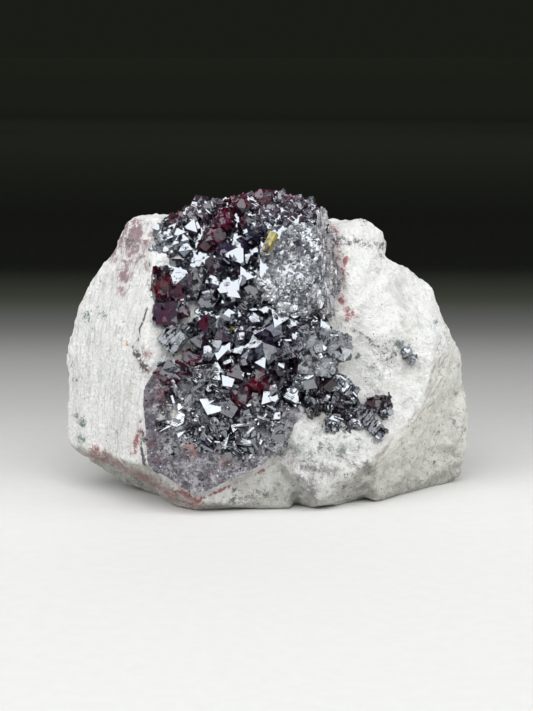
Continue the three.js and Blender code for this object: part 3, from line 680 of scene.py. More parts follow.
def crystal_object(name, parts):
    """Joins parts into one mesh. Every flat face keeps one tone and the tints of its middle."""
    points, triangles, tones, groups = [], [], [], []
    first_point = first_group = 0
    for p, t, tone, group in parts:
        points.append(p)
        triangles.append(t + first_point)
        tones.append(tone)
        groups.append(group + first_group)
        first_point += len(p)
        first_group += group.max() + 1
    p = in_box(np.concatenate(points))
    t = np.concatenate(triangles)
    group = np.concatenate(groups)
    corner = p[t]
    sides = corner[:, 1] - corner[:, 0], corner[:, 2] - corner[:, 0]
    area = np.linalg.norm(np.cross(*sides), axis=1) + TINY
    total = np.bincount(group, area, first_group)
    sums = [np.bincount(group, area * corner[:, :, k].mean(1), first_group) for k in range(3)]
    middle = (np.stack(sums, 1) / np.maximum(total, TINY)[:, None])[group]
    mesh = new_mesh(name, p, t)
    store(mesh, "tone", np.concatenate(tones), "FACE")
    clear = np.zeros(len(t), dtype=bool)
    for tint, spots in TINTS.items():
        mask = spot_mask(middle, spots, TINT_EDGE)
        store(mesh, "tint_" + tint, mask, "FACE")
        if tint in CLEAR_TINTS:
            clear |= mask > CLEAR_FROM
    mesh.polygons.foreach_set("material_index", clear.astype(np.int32))
    return make_object(name, mesh)


def node_part(node):
    mesh = solid(node)
    p = points_of(mesh)
    t = triangles_of(mesh)
    return (p, t, *flat_faces(p, t))


def everywhere(q):
    return np.ones(len(q))


# The frosted patch at the upper right and the grey rim beside it.
PATCH_VOXEL = 0.24
PATCH_SEED = 78
PATCH_GRAINS = ((0.26, 0.7, 91), (0.55, 1.9, 92))
ROPES = (0.5, 0.9, 3, 93)
ROPE_STRETCH = 0.12
SKIN_LIFT = 0.32
SKIN_TUCK = 0.25
SKIN_FROM = 0.02
PATCH_Z = [27.6, 29.4, 32.0, 36.0, 38.5, 41.0]
PATCH_LEFT = [3.0, 0.6, -0.9, -0.6, 1.6, 4.4]
PATCH_RIGHT = 7.6
PATCH_WANDER = 1.5
RIM_RIGHT = 10.8
RIM_AXIS = (0.05, -0.45, -0.9)
RIM_SPREAD = 0.18


def rim_turns(rng, normals):
    return lying_turns(rng, np.tile(RIM_AXIS, (len(normals), 1)), RIM_SPREAD)


def patch_zone(q):
    left = np.interp(q[:, 2], PATCH_Z, PATCH_LEFT) + PATCH_WANDER * fractal(q, 2.4, 3, 95)
    top = 40.0 + PATCH_WANDER * perlin(q, 1.8, 96)
    return between(left, PATCH_RIGHT, q[:, 0], 0.2) * between(28.0, top, q[:, 2])


def rim_zone(q):
    return between(PATCH_RIGHT, RIM_RIGHT, q[:, 0]) * between(27.6, 42.2, q[:, 2])


def frosted_zone(q):
    return np.maximum(patch_zone(q), rim_zone(q))


def bare_crystals(q):
    return 1 - frosted_zone(q)


# Front of the bed that carries the crystals, as in the solids: it leans back toward the crest.
def bed_depth(q):
    lean = np.maximum(-3 - (43 - q[:, 2]) * 0.5, -14.3)
    return lean + np.maximum(0, q[:, 0] - 4) * 0.35


def crevices(q):
    """High between the large crystals, near nothing on their faces."""
    return (0.04 + smoothstep(-0.9, -0.2, q[:, 1] - bed_depth(q))) * bare_crystals(q)


def crest_zone(q):
    return smoothstep(39.4, 40.6, q[:, 2])


# Yellow chips on the crystals: place, length and direction of the long axis.
YELLOW_CHIPS = [
    ((0.5, -8.0, 38.2), 1.55, (0.42, 0.35, 0.84)),
    ((-5.0, -12.6, 26.2), 0.55, (0.7, 0.1, 0.3)),
]


def chips(rng):
    parts = []
    for place, length, axis in YELLOW_CHIPS:
        turn = lying_turns(rng, np.array([axis]), 0.0)
        parts.append(single(place, length, turn, rng, CHIP))
    return parts


def window(across, up):
    """A zone given by its range of x and its range of z."""
    def zone(q):
        return between(*across, q[:, 0]) * between(*up, q[:, 2])

    return zone


def rock_zone(across, up, front, soft):
    """A stretch of the rock's front, given by its range of x and of z and where its front begins."""
    def zone(q):
        ahead = smoothstep(front, front - 1, q[:, 1])
        return ahead * between(*across, q[:, 0], soft) * between(*up, q[:, 2], soft)

    return zone


LOWER = window((2, 14), (12, 20))
PLATES_AT_RIGHT = window((4.5, 12.0), (18.0, 26.2))
LEFT_OF_CLUSTER = rock_zone((-13.4, -9.6), (34.2, 36.6), 0, 0.3)
UPPER_LEFT = rock_zone((-16.6, -12.2), (36.6, 40.0), 0, 0.3)
BEFORE_LOWER_RIGHT = rock_zone((8.4, 13.6), (11.4, 15.4), -6, 0.4)
ROCK_CRYSTALS = (
    (14, (0.4, 1.2), LEFT_OF_CLUSTER, OCTAHEDRON, 0.1),
    (14, (0.4, 1.2), LEFT_OF_CLUSTER, CUT_OCTAHEDRON, 0.1),
    (14, (0.4, 1.2), LEFT_OF_CLUSTER, BLOCK, 0.1),
    (14, (0.9, 2.0), UPPER_LEFT, CUT_OCTAHEDRON, 0.1),
    (16, (0.7, 1.6), UPPER_LEFT, OCTAHEDRON, 0.1),
    (16, (0.4, 1.0), UPPER_LEFT, CUBE_AND_OCTAHEDRON, 0.1),
    (60, (0.3, 0.9), BEFORE_LOWER_RIGHT, OCTAHEDRON, 0.1),
    (40, (0.3, 0.8), BEFORE_LOWER_RIGHT, CUT_OCTAHEDRON, 0.1),
    (60, (0.3, 1.0), BEFORE_LOWER_RIGHT, BLADE, 0.1),
)
CLUSTER_SEED = 77


def dress_cluster(rock_mesh):
    """The solid's crystals, finer ones between them, and some on the rock at their edges."""
    rng = np.random.default_rng(CLUSTER_SEED)
    base = solid("cuprite_cluster")
    parts = [node_part("cuprite_cluster"), *chips(rng)]
    parts += sprinkled_rows(base, rng, (
        (150, (0.6, 1.5), crevices, OCTAHEDRON, 0.2),
        (140, (0.5, 1.4), crevices, CUT_OCTAHEDRON, 0.25),
        (110, (0.5, 1.3), crevices, CUBE_AND_OCTAHEDRON, 0.3),
        (70, (0.5, 1.1), crevices, BLOCK, 0.3),
        (260, (0.2, 0.6), crevices, OCTAHEDRON, 0.1),
        (160, (0.2, 0.5), crevices, CUBE_AND_OCTAHEDRON, 0.1),
        (260, (0.25, 0.65), crest_zone, BLOCK, 0.1),
        (220, (0.25, 0.8), crest_zone, BLADE, 0.1),
        (160, (0.25, 0.7), LOWER, CUT_OCTAHEDRON, 0.1),
        (120, (0.25, 0.8), LOWER, BLADE, 0.1),
        (45, (0.5, 1.2), PLATES_AT_RIGHT, BLOCK, 0.3),
        (60, (0.3, 0.9), PLATES_AT_RIGHT, BLADE, 0.2),
        (70, (0.15, 0.4), PLATES_AT_RIGHT, OCTAHEDRON, 0.1),
    ))
    parts += plated(base, rng, 660, (0.35, 1.15), bare_crystals)
    parts += plated(base, rng, 300, (0.3, 0.9), PLATES_AT_RIGHT)
    parts += sprinkled_rows(rock_mesh, rng, ROCK_CRYSTALS, oversample=OVERSAMPLE_ON_ROCK)
    return crystal_object("cuprite_cluster_crystals", parts)


def dress_patch():
    """Rough frosted skin over the bed at the upper right, set with fine crystals."""
    rng = np.random.default_rng(PATCH_SEED)
    shell, p, n, q = fine_copy("cuprite_cluster", "patch_shell", PATCH_VOXEL, 1)
    share = frosted_zone(q) * smoothstep(0.2, -0.1, n[:, 1])
    ropes = relief(stretched(p, RIM_AXIS, ROPE_STRETCH), ROPES) * rim_zone(q)
    lift = (SKIN_LIFT + grained(p, PATCH_GRAINS) + ropes) * share - SKIN_TUCK * (1 - share)
    p = p + n * lift[:, None]
    tri = triangles_of(shell.data)
    tri = tri[share[tri].max(1) > SKIN_FROM]
    used, tri = np.unique(tri, return_inverse=True)
    tri = tri.reshape(-1, 3)
    p = p[used]
    _, value = cellular(p[tri].mean(1), *PATCH_GRAINS[0][1:])
    bpy.data.objects.remove(shell)
    skin = new_mesh("patch_skin", p, tri)
    parts = [(p, tri, value, np.arange(len(tri)))]
    parts += sprinkled_rows(skin, rng, (
        (3200, (0.08, 0.3), patch_zone, OCTAHEDRON, 0.3),
        (900, (0.1, 0.4), patch_zone, BLOCK, 0.3),
        (60, (0.4, 0.9), patch_zone, CUT_OCTAHEDRON, 0.3),
        (500, (0.08, 0.3), rim_zone, OCTAHEDRON, 0.3),
    ))
    parts += plated(skin, rng, 900, (0.2, 0.75), frosted_zone)
    parts.append(sprinkled(skin, rng, 700, (0.25, 0.9), rim_zone, SPLINTER, 0.05, turns=rim_turns))
    bpy.data.meshes.remove(skin)
    return crystal_object("frosted_patch", parts)


GROUP_LEAN = 0.3


def dress_group(node, name, seed, count, sizes):
    rng = np.random.default_rng(seed)
    base = solid(node)
    parts = [node_part(node)]
    for habit in (OCTAHEDRON, CUBE_AND_OCTAHEDRON, BLOCK):
        parts.append(sprinkled(base, rng, count, sizes, everywhere, habit, 0.4, lean=GROUP_LEAN))
    parts += plated(base, rng, count * 2, (0.3, 0.9), everywhere, GROUP_LEAN)
    return crystal_object(name, parts)


# Massive sheet at the lower left: broken plates in the middle, smoother below and at the right.
CRUST_VOXEL = 0.22
CRUST_GRAINS = ((1.0, 2.2, 111), (0.34, 0.9, 112))
CRUST_SWELL = (0.36, 2.6, 3, 101)
CRUST_GRIT = (0.26, 0.9, 3, 102)
CRUST_TONE = (0.8, 112)
EDGE_ROUGH = (0.42, 1.2, 3, 103)
EDGE_ROPES = (0.25, 0.0, 0.97)
EDGE_STRETCH = 0.35
CRUST_SEED = 12
CRUST_PLATE_LEAN = 0.09
CRUST_TINTS = {
    "powder": [(-10.7, 9.8, 1.1, 1.05), (-6, 8, 1.2, 0.5), (-8, 6.2, 0.8, 0.35), (-12.6, 4.8, 1, 0.3)],
    "wine": [
        (-14.6, 20.2, 1.7, 0.75), (-13, 19, 1.9, 0.8), (-14.4, 17.2, 1.9, 0.65),
        (-16.2, 10.6, 1.2, 0.45), (-15.6, 8, 1.1, 0.5), (-14.9, 12.6, 0.8, 0.7),
    ],
    "violet_edge": [
        (-17.2, 20, 1.6, 0.8), (-16.8, 17, 1.6, 0.8), (-16.9, 14, 1.6, 0.85), (-16.6, 11, 1.6, 0.9),
        (-15.9, 8, 1.5, 0.9),
    ],
}


def broken_zone(q):
    """Where the sheet is broken into plates and set with crystals."""
    return between(-14.6, 2.4, q[:, 0], 1.0) * between(8.2, 22, q[:, 2] + 0.12 * q[:, 0], 1.6)


def dark_zone(q):
    return between(-11.5, -1.0, q[:, 0], 1.0) * between(9.8, 15.5, q[:, 2], 1.0)


def dress_crust():
    obj, p, n, q = fine_copy("cuprite_crust", "cuprite_crust_sheet", CRUST_VOXEL, 1)
    mesh = obj.data
    open_face = smoothstep(0.2, -0.4, n[:, 1])
    broken = broken_zone(q)
    calm = relief(p, CRUST_SWELL) + relief(p, CRUST_GRIT)
    edge = between(-19, -14.8, q[:, 0], 0.6)
    rough = relief(stretched(p, EDGE_ROPES, EDGE_STRETCH), EDGE_ROUGH) * edge
    move = grained(p, CRUST_GRAINS) * broken + calm * (1 - 0.6 * broken) + rough - 0.1
    p = in_box(p + n * (move * open_face)[:, None])
    set_points(mesh, p)
    _, value = cellular(p, *CRUST_TONE)
    store(mesh, "tone", value)
    store(mesh, "broken", broken)
    for name, spots in CRUST_TINTS.items():
        store(mesh, name, spot_mask(p, spots))
    return obj


# A white wedge that lies on the sheet.
SLIVER_OUTLINE = ((1, 0.2), (-1, 0.25), (-0.6, -0.4))
SLIVER_HALF = 0.12
SLIVER = convex(slab(SLIVER_OUTLINE, SLIVER_HALF))
SLIVER_PLACE = (-13.1, -17.5, 15.1)
SLIVER_OUT = (-0.15, -0.9, 0.35)
SLIVER_ALONG = (0.9, 0.0, 0.35)
SLIVER_LENGTH = 1.6


def laid(out, along):
    """The rotation that turns a crystal's third axis to one direction and its first along another."""
    out = np.array(out) / np.linalg.norm(out)
    along = np.array(along) - out * (out @ np.array(along))
    along /= np.linalg.norm(along)
    return np.stack([along, np.cross(out, along), out], 1)[None]


def dress_crust_crystals(sheet):
    rng = np.random.default_rng(CRUST_SEED)
    turn = laid(SLIVER_OUT, SLIVER_ALONG)
    parts = [single(SLIVER_PLACE, SLIVER_LENGTH, turn, rng, SLIVER)]
    parts += sprinkled_rows(sheet.data, rng, (
        (60, (0.15, 0.45), broken_zone, OCTAHEDRON, 0.2),
        (50, (0.2, 0.6), broken_zone, BLOCK, 0.3),
        (60, (0.3, 0.9), broken_zone, BLADE, 0.35),
        (110, (0.3, 1.0), dark_zone, CUT_OCTAHEDRON, 0.2),
        (70, (0.35, 0.9), dark_zone, BLADE, 0.3),
        (2200, (0.07, 0.22), everywhere, OCTAHEDRON, 0.3),
    ))
    parts += plated(sheet.data, rng, 330, (0.4, 1.7), broken_zone, spread=CRUST_PLATE_LEAN)
    parts += plated(sheet.data, rng, 120, (0.15, 0.4), everywhere, spread=0.2)
    return crystal_object("crust_crystals", parts)


# Materials.
class Nodes:
    """A material on the Principled shader, with short names for its nodes. Spans are in mm."""

    def __init__(self, name):
        self.material = bpy.data.materials.new(name)
        self.material.use_nodes = True
        self.tree = self.material.node_tree
        self.shader = self.tree.nodes["Principled BSDF"]
        coord = self.add("ShaderNodeTexCoord")
        self.mm = self.scaled(coord.outputs["Object"], 1 / MM)
        self.colour = None

    def add(self, kind, **settings):
        node = self.tree.nodes.new(kind)
        for key, value in settings.items():
            setattr(node, key, value)
        return node

    def link(self, a, b):
        self.tree.links.new(a, b)

    def feed(self, socket, value):
        if isinstance(value, (int, float)):
            socket.default_value = value
        elif isinstance(value, tuple):
            socket.default_value = (*value, 1.0) if len(value) == 3 else value
        else:
            self.link(value, socket)

    def math(self, operation, a, b=0.0, c=0.0, clamp=False):
        node = self.add("ShaderNodeMath", operation=operation, use_clamp=clamp)
        for i, value in enumerate((a, b, c)):
            self.feed(node.inputs[i], value)
        return node.outputs[0]

    def times(self, a, b):
        return self.math("MULTIPLY", a, b)

    def along(self, direction, share):
        """Coordinates squeezed along one direction, so that a texture runs in streaks."""
        dot = self.vector_node("DOT_PRODUCT", self.mm, direction).outputs["Value"]
        return self.vector_math("ADD", self.mm, self.scaled(direction, self.times(dot, share - 1)))

    def texture(self, kind, span, vector=None, **inputs):
        node = self.add(kind)
        self.link(vector or self.mm, node.inputs["Vector"])
        for key, value in {"Scale": 1 / span, **inputs}.items():
            node.inputs[key].default_value = value
        return node

    def noise(self, span, detail=3.0, rough=0.55, distortion=0.0, vector=None, output="Fac"):
        inputs = {"Detail": detail, "Roughness": rough, "Distortion": distortion}
        return self.texture("ShaderNodeTexNoise", span, vector, **inputs).outputs[output]

    def voronoi(self, span, vector=None):
        return self.texture("ShaderNodeTexVoronoi", span, vector)

    def speckle(self, span, share, size):
        """Small round specks in a share of the cells."""
        cells = self.voronoi(span)
        chosen = self.red_of(cells.outputs["Color"])
        near = self.ramp(cells.outputs["Distance"], size * 0.6, size, 1, 0)
        return self.times(near, self.math("GREATER_THAN", chosen, 1 - share))

    def vector_node(self, operation, *values):
        node = self.add("ShaderNodeVectorMath", operation=operation)
        for socket, value in zip(node.inputs, values):
            if isinstance(value, tuple):
                socket.default_value = value
            else:
                self.link(value, socket)
        return node

    def vector_math(self, operation, a, b):
        return self.vector_node(operation, a, b).outputs["Vector"]

    def scaled(self, vector, factor):
        node = self.vector_node("SCALE", vector)
        self.feed(node.inputs["Scale"], factor)
        return node.outputs["Vector"]

    def centred(self, colour, factor):
        return self.scaled(self.vector_math("SUBTRACT", colour, (0.5, 0.5, 0.5)), factor)

    def shards(self, span, wander):
        """Random colour of each cell of a broken-up pattern with ragged edges."""
        noise = self.noise(span, 4, 0.5, output="Color")
        place = self.vector_math("ADD", self.mm, self.centred(noise, wander))
        return self.voronoi(span, place).outputs["Color"]

    def tilted(self, normal, cells, tilt):
        """The normal turned a little, each cell its own way."""
        turned = self.vector_math("ADD", normal, self.centred(cells, tilt))
        return self.vector_math("NORMALIZE", turned, (0, 0, 0))

    def red_of(self, colour):
        node = self.add("ShaderNodeSeparateColor")
        self.link(colour, node.inputs[0])
        return node.outputs[0]

    def attribute(self, name):
        return self.add("ShaderNodeAttribute", attribute_name=name).outputs["Fac"]

    def ramp(self, value, low, high, out_low=0.0, out_high=1.0):
        node = self.add("ShaderNodeMapRange", interpolation_type="SMOOTHSTEP")
        self.feed(node.inputs["Value"], value)
        numbers = {"From Min": low, "From Max": high, "To Min": out_low, "To Max": out_high}
        for key, number in numbers.items():
            node.inputs[key].default_value = number
        return node.outputs["Result"]

    def mix(self, factor, a, b):
        node = self.add("ShaderNodeMix", data_type="RGBA")
        self.feed(node.inputs[0], factor)
        self.feed(node.inputs[6], a)
        self.feed(node.inputs[7], b)
        return node.outputs[2]

    def over(self, mask, tint):
        """Lays a tint over the colour so far, where the mask is high."""
        self.colour = self.mix(mask, self.colour, tint)

    def bump(self, height, strength, distance_mm, normal=None):
        node = self.add("ShaderNodeBump")
        node.inputs["Strength"].default_value = strength
        node.inputs["Distance"].default_value = distance_mm * MM
        self.link(height, node.inputs["Height"])
        if normal is not None:
            self.link(normal, node.inputs["Normal"])
        return node.outputs["Normal"]

    def set(self, name, value):
        self.feed(self.shader.inputs[name], value)

    def finished(self):
        self.set("Base Color", self.colour)
        return self.material


FLECK_FROM = 0.74


def rock_material():
    m = Nodes("pale_matrix")
    fine = m.noise(1.2, 5, 0.65)
    m.colour = m.mix(m.ramp(m.noise(9.0, 4), 0.35, 0.7), (0.85, 0.85, 0.83), (0.9, 0.9, 0.89))
    m.over(m.ramp(fine, 0.5, 0.8, 0, 0.35), (0.62, 0.62, 0.6))
    crumbs = m.ramp(m.noise(0.55, 4, 0.75), 0.5, 0.66, 0, 0.5)
    m.over(crumbs, (0.58, 0.58, 0.555))
    joint_grain = m.along(JOINT_GRAIN, JOINT_STRETCH)
    streaks = m.ramp(m.noise(0.42, 3, 0.6, 0.3, joint_grain), 0.5, 0.64, 0, 0.62)
    bands = m.ramp(m.noise(1.7, 3, 0.6, 0.3, m.along(JOINT_GRAIN, 0.1)), 0.48, 0.66, 0, 0.25)
    streaks = m.math("MAXIMUM", streaks, bands)
    m.over(m.times(streaks, m.attribute("joint")), (0.48, 0.49, 0.48))
    beige = m.times(m.attribute("weathered"), m.ramp(m.noise(3.0, 4), 0.25, 0.6, 0.55, 1))
    m.over(beige, (0.76, 0.745, 0.67))
    # Painted shade: the faces that look down near the base are darkened where the overhang puts them in
    # shadow.
    underside_shade = m.times(m.attribute("under"), m.ramp(m.noise(1.6, 5, 0.7), 0.35, 0.6, 0.35, 1.0))
    m.over(underside_shade, (0.36, 0.35, 0.31))
    fibres = m.ramp(m.noise(0.5, 3, 0.6, 0.3, m.along(LIP_DIRECTION, 0.1)), 0.48, 0.62, 0, 0.75)
    m.over(m.times(fibres, m.attribute("lip")), (0.36, 0.35, 0.31))
    # Painted shade: the colour is darkened in the recesses of the displaced surface.
    m.over(m.times(m.attribute("hollow_shade"), 0.5), (0.52, 0.51, 0.47))
    cool = m.ramp(m.noise(4.5, 3, 0.6, 0.4), 0.54, 0.7, 0, 0.35)
    m.over(cool, (0.66, 0.715, 0.7))

    def stained(name, wash, tint, span, full=0.9, edge=0.075, vector=None):
        """A faint wash, and fine flecks that grow dense where the mask is high."""
        uneven = m.ramp(m.noise(1.7, 4, 0.7, 0.5), 0.34, 0.6, 0.25, 1.25)
        mask = m.times(m.attribute("stain_" + name), uneven)
        m.over(m.ramp(mask, 0.1, 0.9, 0, 0.65), wash)
        fleck = m.math("MULTIPLY_ADD", mask, 0.45, m.noise(span, 5, 0.78, 0.8, vector))
        pale = tuple(1.5 * part + 0.03 for part in tint)
        inner = m.mix(m.ramp(m.noise(0.45, 4, 0.8), 0.42, 0.6), tint, pale)
        m.over(m.ramp(fleck, FLECK_FROM - edge, FLECK_FROM + edge, 0, full), inner)

    stained("red", (0.6, 0.37, 0.36), (0.25, 0.07, 0.075), 0.55)
    grain = m.along(JOINT_GRAIN, 0.25)
    plum = (0.2, 0.115, 0.135)
    stained("plum", (0.52, 0.42, 0.43), plum, 0.38, full=0.8, edge=0.11, vector=grain)
    stained("green", (0.44, 0.52, 0.49), (0.05, 0.095, 0.085), 0.6)
    stained("dark", (0.48, 0.46, 0.47), (0.045, 0.035, 0.042), 0.45)
    stained("ochre", (0.62, 0.3, 0.06), (0.5, 0.2, 0.03), 0.4)
    gritty = m.attribute("gritty")
    dull = m.times(gritty, m.ramp(m.noise(1.8, 6, 0.8), 0.4, 0.62, 0.25, 0.75))
    m.over(dull, (0.52, 0.53, 0.505))
    grit = m.ramp(m.noise(0.9, 6, 0.82, 0.3), 0.54, 0.62, 0, 0.9)
    grit = m.times(grit, m.math("MULTIPLY_ADD", gritty, 0.8, 0.25))
    m.over(grit, (0.2, 0.19, 0.175))
    m.over(m.times(m.speckle(1.3, 0.3, 0.12), 0.85), (0.1, 0.11, 0.11))
    m.over(m.times(m.speckle(0.7, 0.1, 0.2), 0.65), (0.22, 0.17, 0.17))
    m.set("Roughness", m.ramp(fine, 0.3, 0.7, 0.8, 0.95))
    m.set("Specular IOR Level", 0.25)
    height = m.math("MULTIPLY_ADD", m.noise(0.5, 4, 0.7), 0.8, m.noise(1.0, 5, 0.65))
    m.set("Normal", m.bump(height, 1.0, 0.5))
    return m.finished()


CRYSTAL_TINTS = {
    "steel": (0.23, 0.235, 0.25),
    "lilac": (0.12, 0.075, 0.1),
    "violet": (0.018, 0.013, 0.04),
    "red": (0.072, 0.001, 0.008),
    "magenta": (0.105, 0.006, 0.036),
    "plum": (0.058, 0.015, 0.03),
    "yellow": (0.34, 0.28, 0.015),
    "pale": (0.72, 0.71, 0.67),
    "brown": (0.022, 0.009, 0.012),
}


STRIPES_ALONG = (0.66, 0.1, 0.75)
GLOSS_TINT = (0.88, 0.94, 1.0, 1.0)


def growth_lines(m, strength, distance_mm):
    lines = m.add("ShaderNodeTexWave", wave_type="BANDS", bands_direction="DIAGONAL")
    m.link(m.mm, lines.inputs["Vector"])
    lines.inputs["Scale"].default_value = 1.4
    lines.inputs["Distortion"].default_value = 3.0
    lines.inputs["Detail"].default_value = 2.0
    height = m.math("MULTIPLY_ADD", lines.outputs["Fac"], 0.25, m.noise(0.5, 4, 0.6))
    return m.bump(height, strength, distance_mm)


def crystal_material(name, ior, rough):
    """Dark, glossy crystal, with the colour of its tints where their masks are high."""
    m = Nodes(name)
    tone = m.attribute("tone")
    m.colour = m.mix(m.ramp(tone, 0.35, 0.65), (0.003, 0.002, 0.004), (0.011, 0.005, 0.014))
    m.over(m.ramp(tone, 0.66, 0.8), (0.036, 0.028, 0.046))
    cells = m.shards(0.9, 1.6)
    cloudy = m.ramp(m.noise(0.8, 4, 0.65, 0.6), 0.34, 0.62, 0.3, 1.0)
    patchy = m.times(cloudy, m.ramp(m.red_of(cells), 0.25, 0.6, 0.12, 1.0))
    for tint_name, tint in CRYSTAL_TINTS.items():
        share = m.times(m.ramp(m.attribute("tint_" + tint_name), 0.25, 0.7), patchy)
        m.over(share, tint)
    stripes = m.ramp(m.noise(0.3, 2, 0.5, 0.2, m.along(STRIPES_ALONG, 0.06)), 0.47, 0.52)
    banded = m.mix(stripes, (0.003, 0.003, 0.004), (0.26, 0.27, 0.3))
    m.over(m.ramp(m.attribute("tint_striped"), 0.4, 0.6), banded)
    dust = m.ramp(m.noise(0.35, 5, 0.75), 0.61, 0.74, 0, 0.35)
    m.over(dust, (0.13, 0.11, 0.13))
    m.set("Roughness", m.ramp(m.noise(0.5, 3), 0.35, 0.75, rough, rough + 0.12))
    m.set("IOR", ior)
    m.set("Specular Tint", GLOSS_TINT)
    m.set("Normal", m.tilted(growth_lines(m, 0.3, 0.06), cells, 0.16))
    return m.finished()


def frosted_material():
    m = Nodes("frosted_cuprite")
    tone = m.attribute("tone")
    # Grains run at random from near black to near white. This is the pale coating's own colour, and the
    # whitest grains are also painted glints.
    m.colour = m.mix(m.ramp(tone, 0.3, 0.85), (0.022, 0.027, 0.036), (0.8, 0.84, 0.88))
    m.over(m.ramp(m.noise(2.6, 4, 0.6), 0.46, 0.6, 0, 0.8), (0.05, 0.06, 0.08))
    folds = m.ramp(m.noise(0.5, 4, 0.65, 0.4, m.along(RIM_AXIS, 0.15)), 0.42, 0.62)
    folded = m.mix(folds, (0.075, 0.062, 0.072), (0.36, 0.35, 0.37))
    m.over(m.ramp(m.attribute("tint_rim"), 0.2, 0.6, 0, 0.85), folded)
    m.over(m.ramp(m.noise(1.1, 5, 0.7), 0.6, 0.72, 0, 0.7), (0.17, 0.1, 0.1))
    m.set("Roughness", m.ramp(m.noise(0.6, 3), 0.3, 0.7, 0.12, 0.36))
    m.set("IOR", 2.5)
    m.set("Normal", m.bump(m.noise(0.3, 4, 0.7), 0.8, 0.14))
    return m.finished()


def crust_material():
    m = Nodes("massive_cuprite")
    tone = m.attribute("tone")
    blotches = m.ramp(m.noise(1.4, 5, 0.75), 0.38, 0.6)
    m.colour = m.mix(blotches, (0.055, 0.05, 0.062), (0.39, 0.37, 0.41))
    plates = m.times(tone, m.times(m.attribute("broken"), 0.7))
    m.over(plates, (0.4, 0.415, 0.45))
    m.over(m.ramp(m.noise(3.0, 4, 0.6), 0.5, 0.62, 0, 0.55), (0.05, 0.045, 0.055))
    m.over(m.ramp(m.noise(0.9, 5, 0.8), 0.52, 0.58, 0, 0.9), (0.022, 0.016, 0.022))
    # Painted glints: fine pale specks stand in for light caught on the sheet's small facets.
    m.over(m.ramp(m.noise(0.6, 5, 0.8, 0.4), 0.58, 0.63, 0, 0.85), (0.46, 0.46, 0.5))

    def tinted(name, tint, span, full):
        mask = m.math("MULTIPLY_ADD", m.attribute(name), 0.5, m.noise(span, 5, 0.7, 0.5))
        m.over(m.ramp(mask, 0.62, 0.8, 0, full), tint)

    tinted("violet_edge", (0.095, 0.075, 0.105), 0.9, 0.75)
    tinted("wine", (0.085, 0.01, 0.026), 0.5, 0.75)
    tinted("powder", (0.34, 0.12, 0.1), 0.6, 0.75)
    m.set("Roughness", m.ramp(m.noise(0.8, 4), 0.3, 0.7, 0.22, 0.5))
    m.set("IOR", 1.95)
    height = m.math("MULTIPLY_ADD", m.noise(0.22, 4, 0.75), 0.6, m.noise(0.8, 5, 0.65))
    m.set("Normal", m.bump(height, 1.0, 0.35))
    return m.finished()


# The floor spreads some metres, and its colour holds painted light: bright near the specimen, fading to
# painted shade behind. Distance back in mm and level.
FLOOR_REACH = 3.0
FLOOR_LIT_END = 148
FLOOR_PAINTED_LIGHT = [
    (-100, 0.63), (0, 0.66), (60, 0.41), (110, 0.27), (148, 0.125), (195, 0.045), (255, 0.008),
    (400, 0.008), (900, 0.026), (1800, 0.2), (3000, 0.6),
]
FLOOR_NEAR = (1.0, 0.995, 0.975)
FLOOR_FAR = (0.9, 1.0, 0.75)


def floor_material():
    m = Nodes("pale_floor")
    place = m.add("ShaderNodeSeparateXYZ")
    m.link(m.mm, place.inputs[0])
    start = FLOOR_PAINTED_LIGHT[0][0]
    span = FLOOR_PAINTED_LIGHT[-1][0] - start
    # The ramp paints the light's fall-off into the floor's colour, by distance back along y.
    ramp = m.add("ShaderNodeValToRGB")
    way_back = m.math("SUBTRACT", place.outputs["Y"], start)
    m.link(m.math("DIVIDE", way_back, span), ramp.inputs["Fac"])
    stops = ramp.color_ramp.elements
    while len(stops) < len(FLOOR_PAINTED_LIGHT):
        stops.new(1.0)
    for stop, (at, level) in zip(stops, FLOOR_PAINTED_LIGHT):
        stop.position = (at - start) / span
        tint = FLOOR_NEAR if at <= FLOOR_LIT_END else FLOOR_FAR
        stop.color = (*(level * part for part in tint), 1)
    grain = m.noise(2.0, 4)
    m.set("Base Color", m.mix(m.ramp(grain, 0.3, 0.7, 0, 0.03), ramp.outputs["Color"], (0.1, 0.1, 0.1)))
    m.set("Roughness", 0.7)
    m.set("Specular IOR Level", 0.0)
    return m.material


def aimed(name, data, place, direction):
    """An object of a light or camera that looks along a direction."""
    obj = make_object(name, data)
    obj.location = place
    obj.rotation_mode = "QUATERNION"
    obj.rotation_quaternion = direction.to_track_quat("-Z", "Y")
    return obj


def paint(obj, materials):
    for material in materials:
        obj.data.materials.append(material)


# Pieces.
rock = dress_rock()
paint(rock, (rock_material(),))
gloss = (crystal_material("cuprite_crystal", 3.3, 0.035), crystal_material("red_cuprite", 1.7, 0.06))
frosted = (frosted_material(),)
cluster = dress_cluster(rock.data)
paint(cluster, gloss)
patch = dress_patch()
paint(patch, frosted * 2)
crust = dress_crust()
paint(crust, (crust_material(),))
crust_crystals = dress_crust_crystals(crust)
paint(crust_crystals, gloss)

pieces = [
    (rock, "matrix", "pale_matrix"),
    (cluster, "cuprite_cluster", "cuprite_crystal"),
    (patch, "cuprite_cluster", "cuprite_crystal"),
    (crust, "cuprite_crust", "massive_cuprite"),
    (crust_crystals, "cuprite_crust", "cuprite_crystal"),
]
for node, name, seed, count, sizes in (
    ("left_crystals", "left_red_crystals", 31, 26, (0.12, 0.4)),
    ("purple_crystal", "purple_crystal_pair", 32, 16, (0.12, 0.3)),
    ("striated_crystal", "striated_grey_crystal", 33, 6, (0.12, 0.3)),
    ("lower_right_crystals", "lower_right_group", 34, 90, (0.15, 0.5)),
    ("ledge_crystals", "ledge_crystal_pair", 35, 8, (0.12, 0.3)),
):
    piece = dress_group(node, name, seed, count, sizes)
    paint(piece, gloss)
    pieces.append((piece, node, "cuprite_crystal"))

for piece, node, slot in pieces:
    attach(piece, "root")
    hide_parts(node)

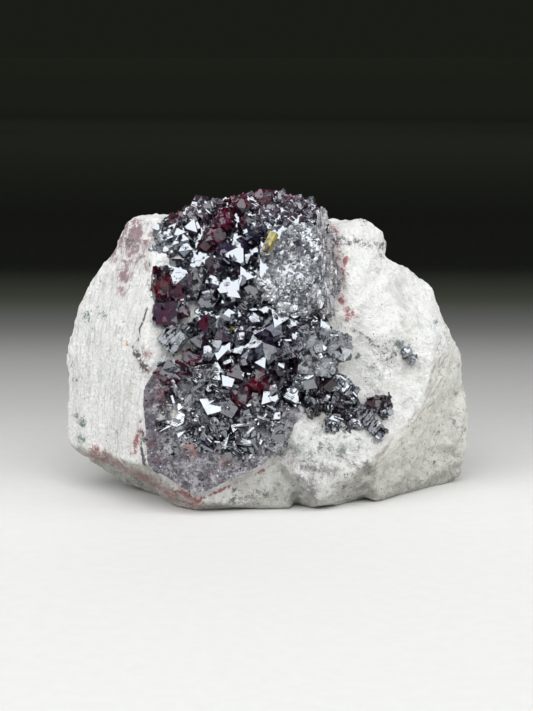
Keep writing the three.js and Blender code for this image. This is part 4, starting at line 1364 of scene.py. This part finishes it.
# Floor.
floor_corners = [(-1, -1, 0), (1, -1, 0), (1, 1, 0), (-1, 1, 0)]
floor_mesh = bpy.data.meshes.new("pale_floor")
floor_mesh.from_pydata([Vector(c) * FLOOR_REACH for c in floor_corners], [], [(0, 1, 2, 3)])
floor = make_object("pale_floor", floor_mesh)
paint(floor, (floor_material(),))

# Lights: name, place, size, power and whether the crystals mirror them.
LIGHTS = (
    ("front_softbox", (-0.08, -0.4, 0.54), (0.95, 0.7), 6.9, True),
    ("top_panel", (0.0, 0.15, 0.8), (0.9, 0.6), 0.7, True),
    ("right_card", (0.7, -0.2, 0.34), (0.5, 0.4), 1.0, True),
    ("left_panel", (-0.75, -0.3, 0.34), (0.8, 0.6), 3.0, False),
    ("right_panel", (0.8, -0.25, 0.38), (1.2, 0.9), 4.9, False),
    ("back_panel", (0.1, 0.8, 0.45), (0.8, 0.6), 1.6, False),
)
LIGHT_COLOURS = {"front_softbox": (0.985, 0.99, 1.0)}
LIGHT_TARGET = Vector((0, 0, 0.02))
WORLD_COLOUR = (0.0105, 0.012, 0.0085, 1)

for name, place, size, power, mirrored in LIGHTS:
    data = bpy.data.lights.new(name, "AREA")
    data.shape = "RECTANGLE"
    data.size, data.size_y = size
    data.energy = power
    data.color = LIGHT_COLOURS.get(name, (1, 1, 1))
    light = aimed(name, data, place, LIGHT_TARGET - Vector(place))
    light.visible_glossy = mirrored

world = bpy.data.worlds.new("studio")
world.use_nodes = True
world.node_tree.nodes["Background"].inputs["Color"].default_value = WORLD_COLOUR
world.node_tree.nodes["Background"].inputs["Strength"].default_value = 1.0
bpy.context.scene.world = world
bpy.context.scene.view_settings.view_transform = "Standard"

# Camera.
CAMERA_LENS = 97.9
CAMERA_SENSOR = 36
CAMERA_NEAR = 0.01
CAMERA_DISTANCE = 0.29
CAMERA_ELEVATION = math.radians(10)
CAMERA_TARGET = Vector((*(SHIFT[:2] * MM), 0.0202))
camera_data = bpy.data.cameras.new("camera")
camera_data.sensor_width = CAMERA_SENSOR
camera_data.lens = CAMERA_LENS
camera_data.clip_start = CAMERA_NEAR
back = Vector((0, -math.cos(CAMERA_ELEVATION), math.sin(CAMERA_ELEVATION)))
camera = aimed("camera", camera_data, CAMERA_TARGET + back * CAMERA_DISTANCE, -back)
bpy.context.scene.camera = camera
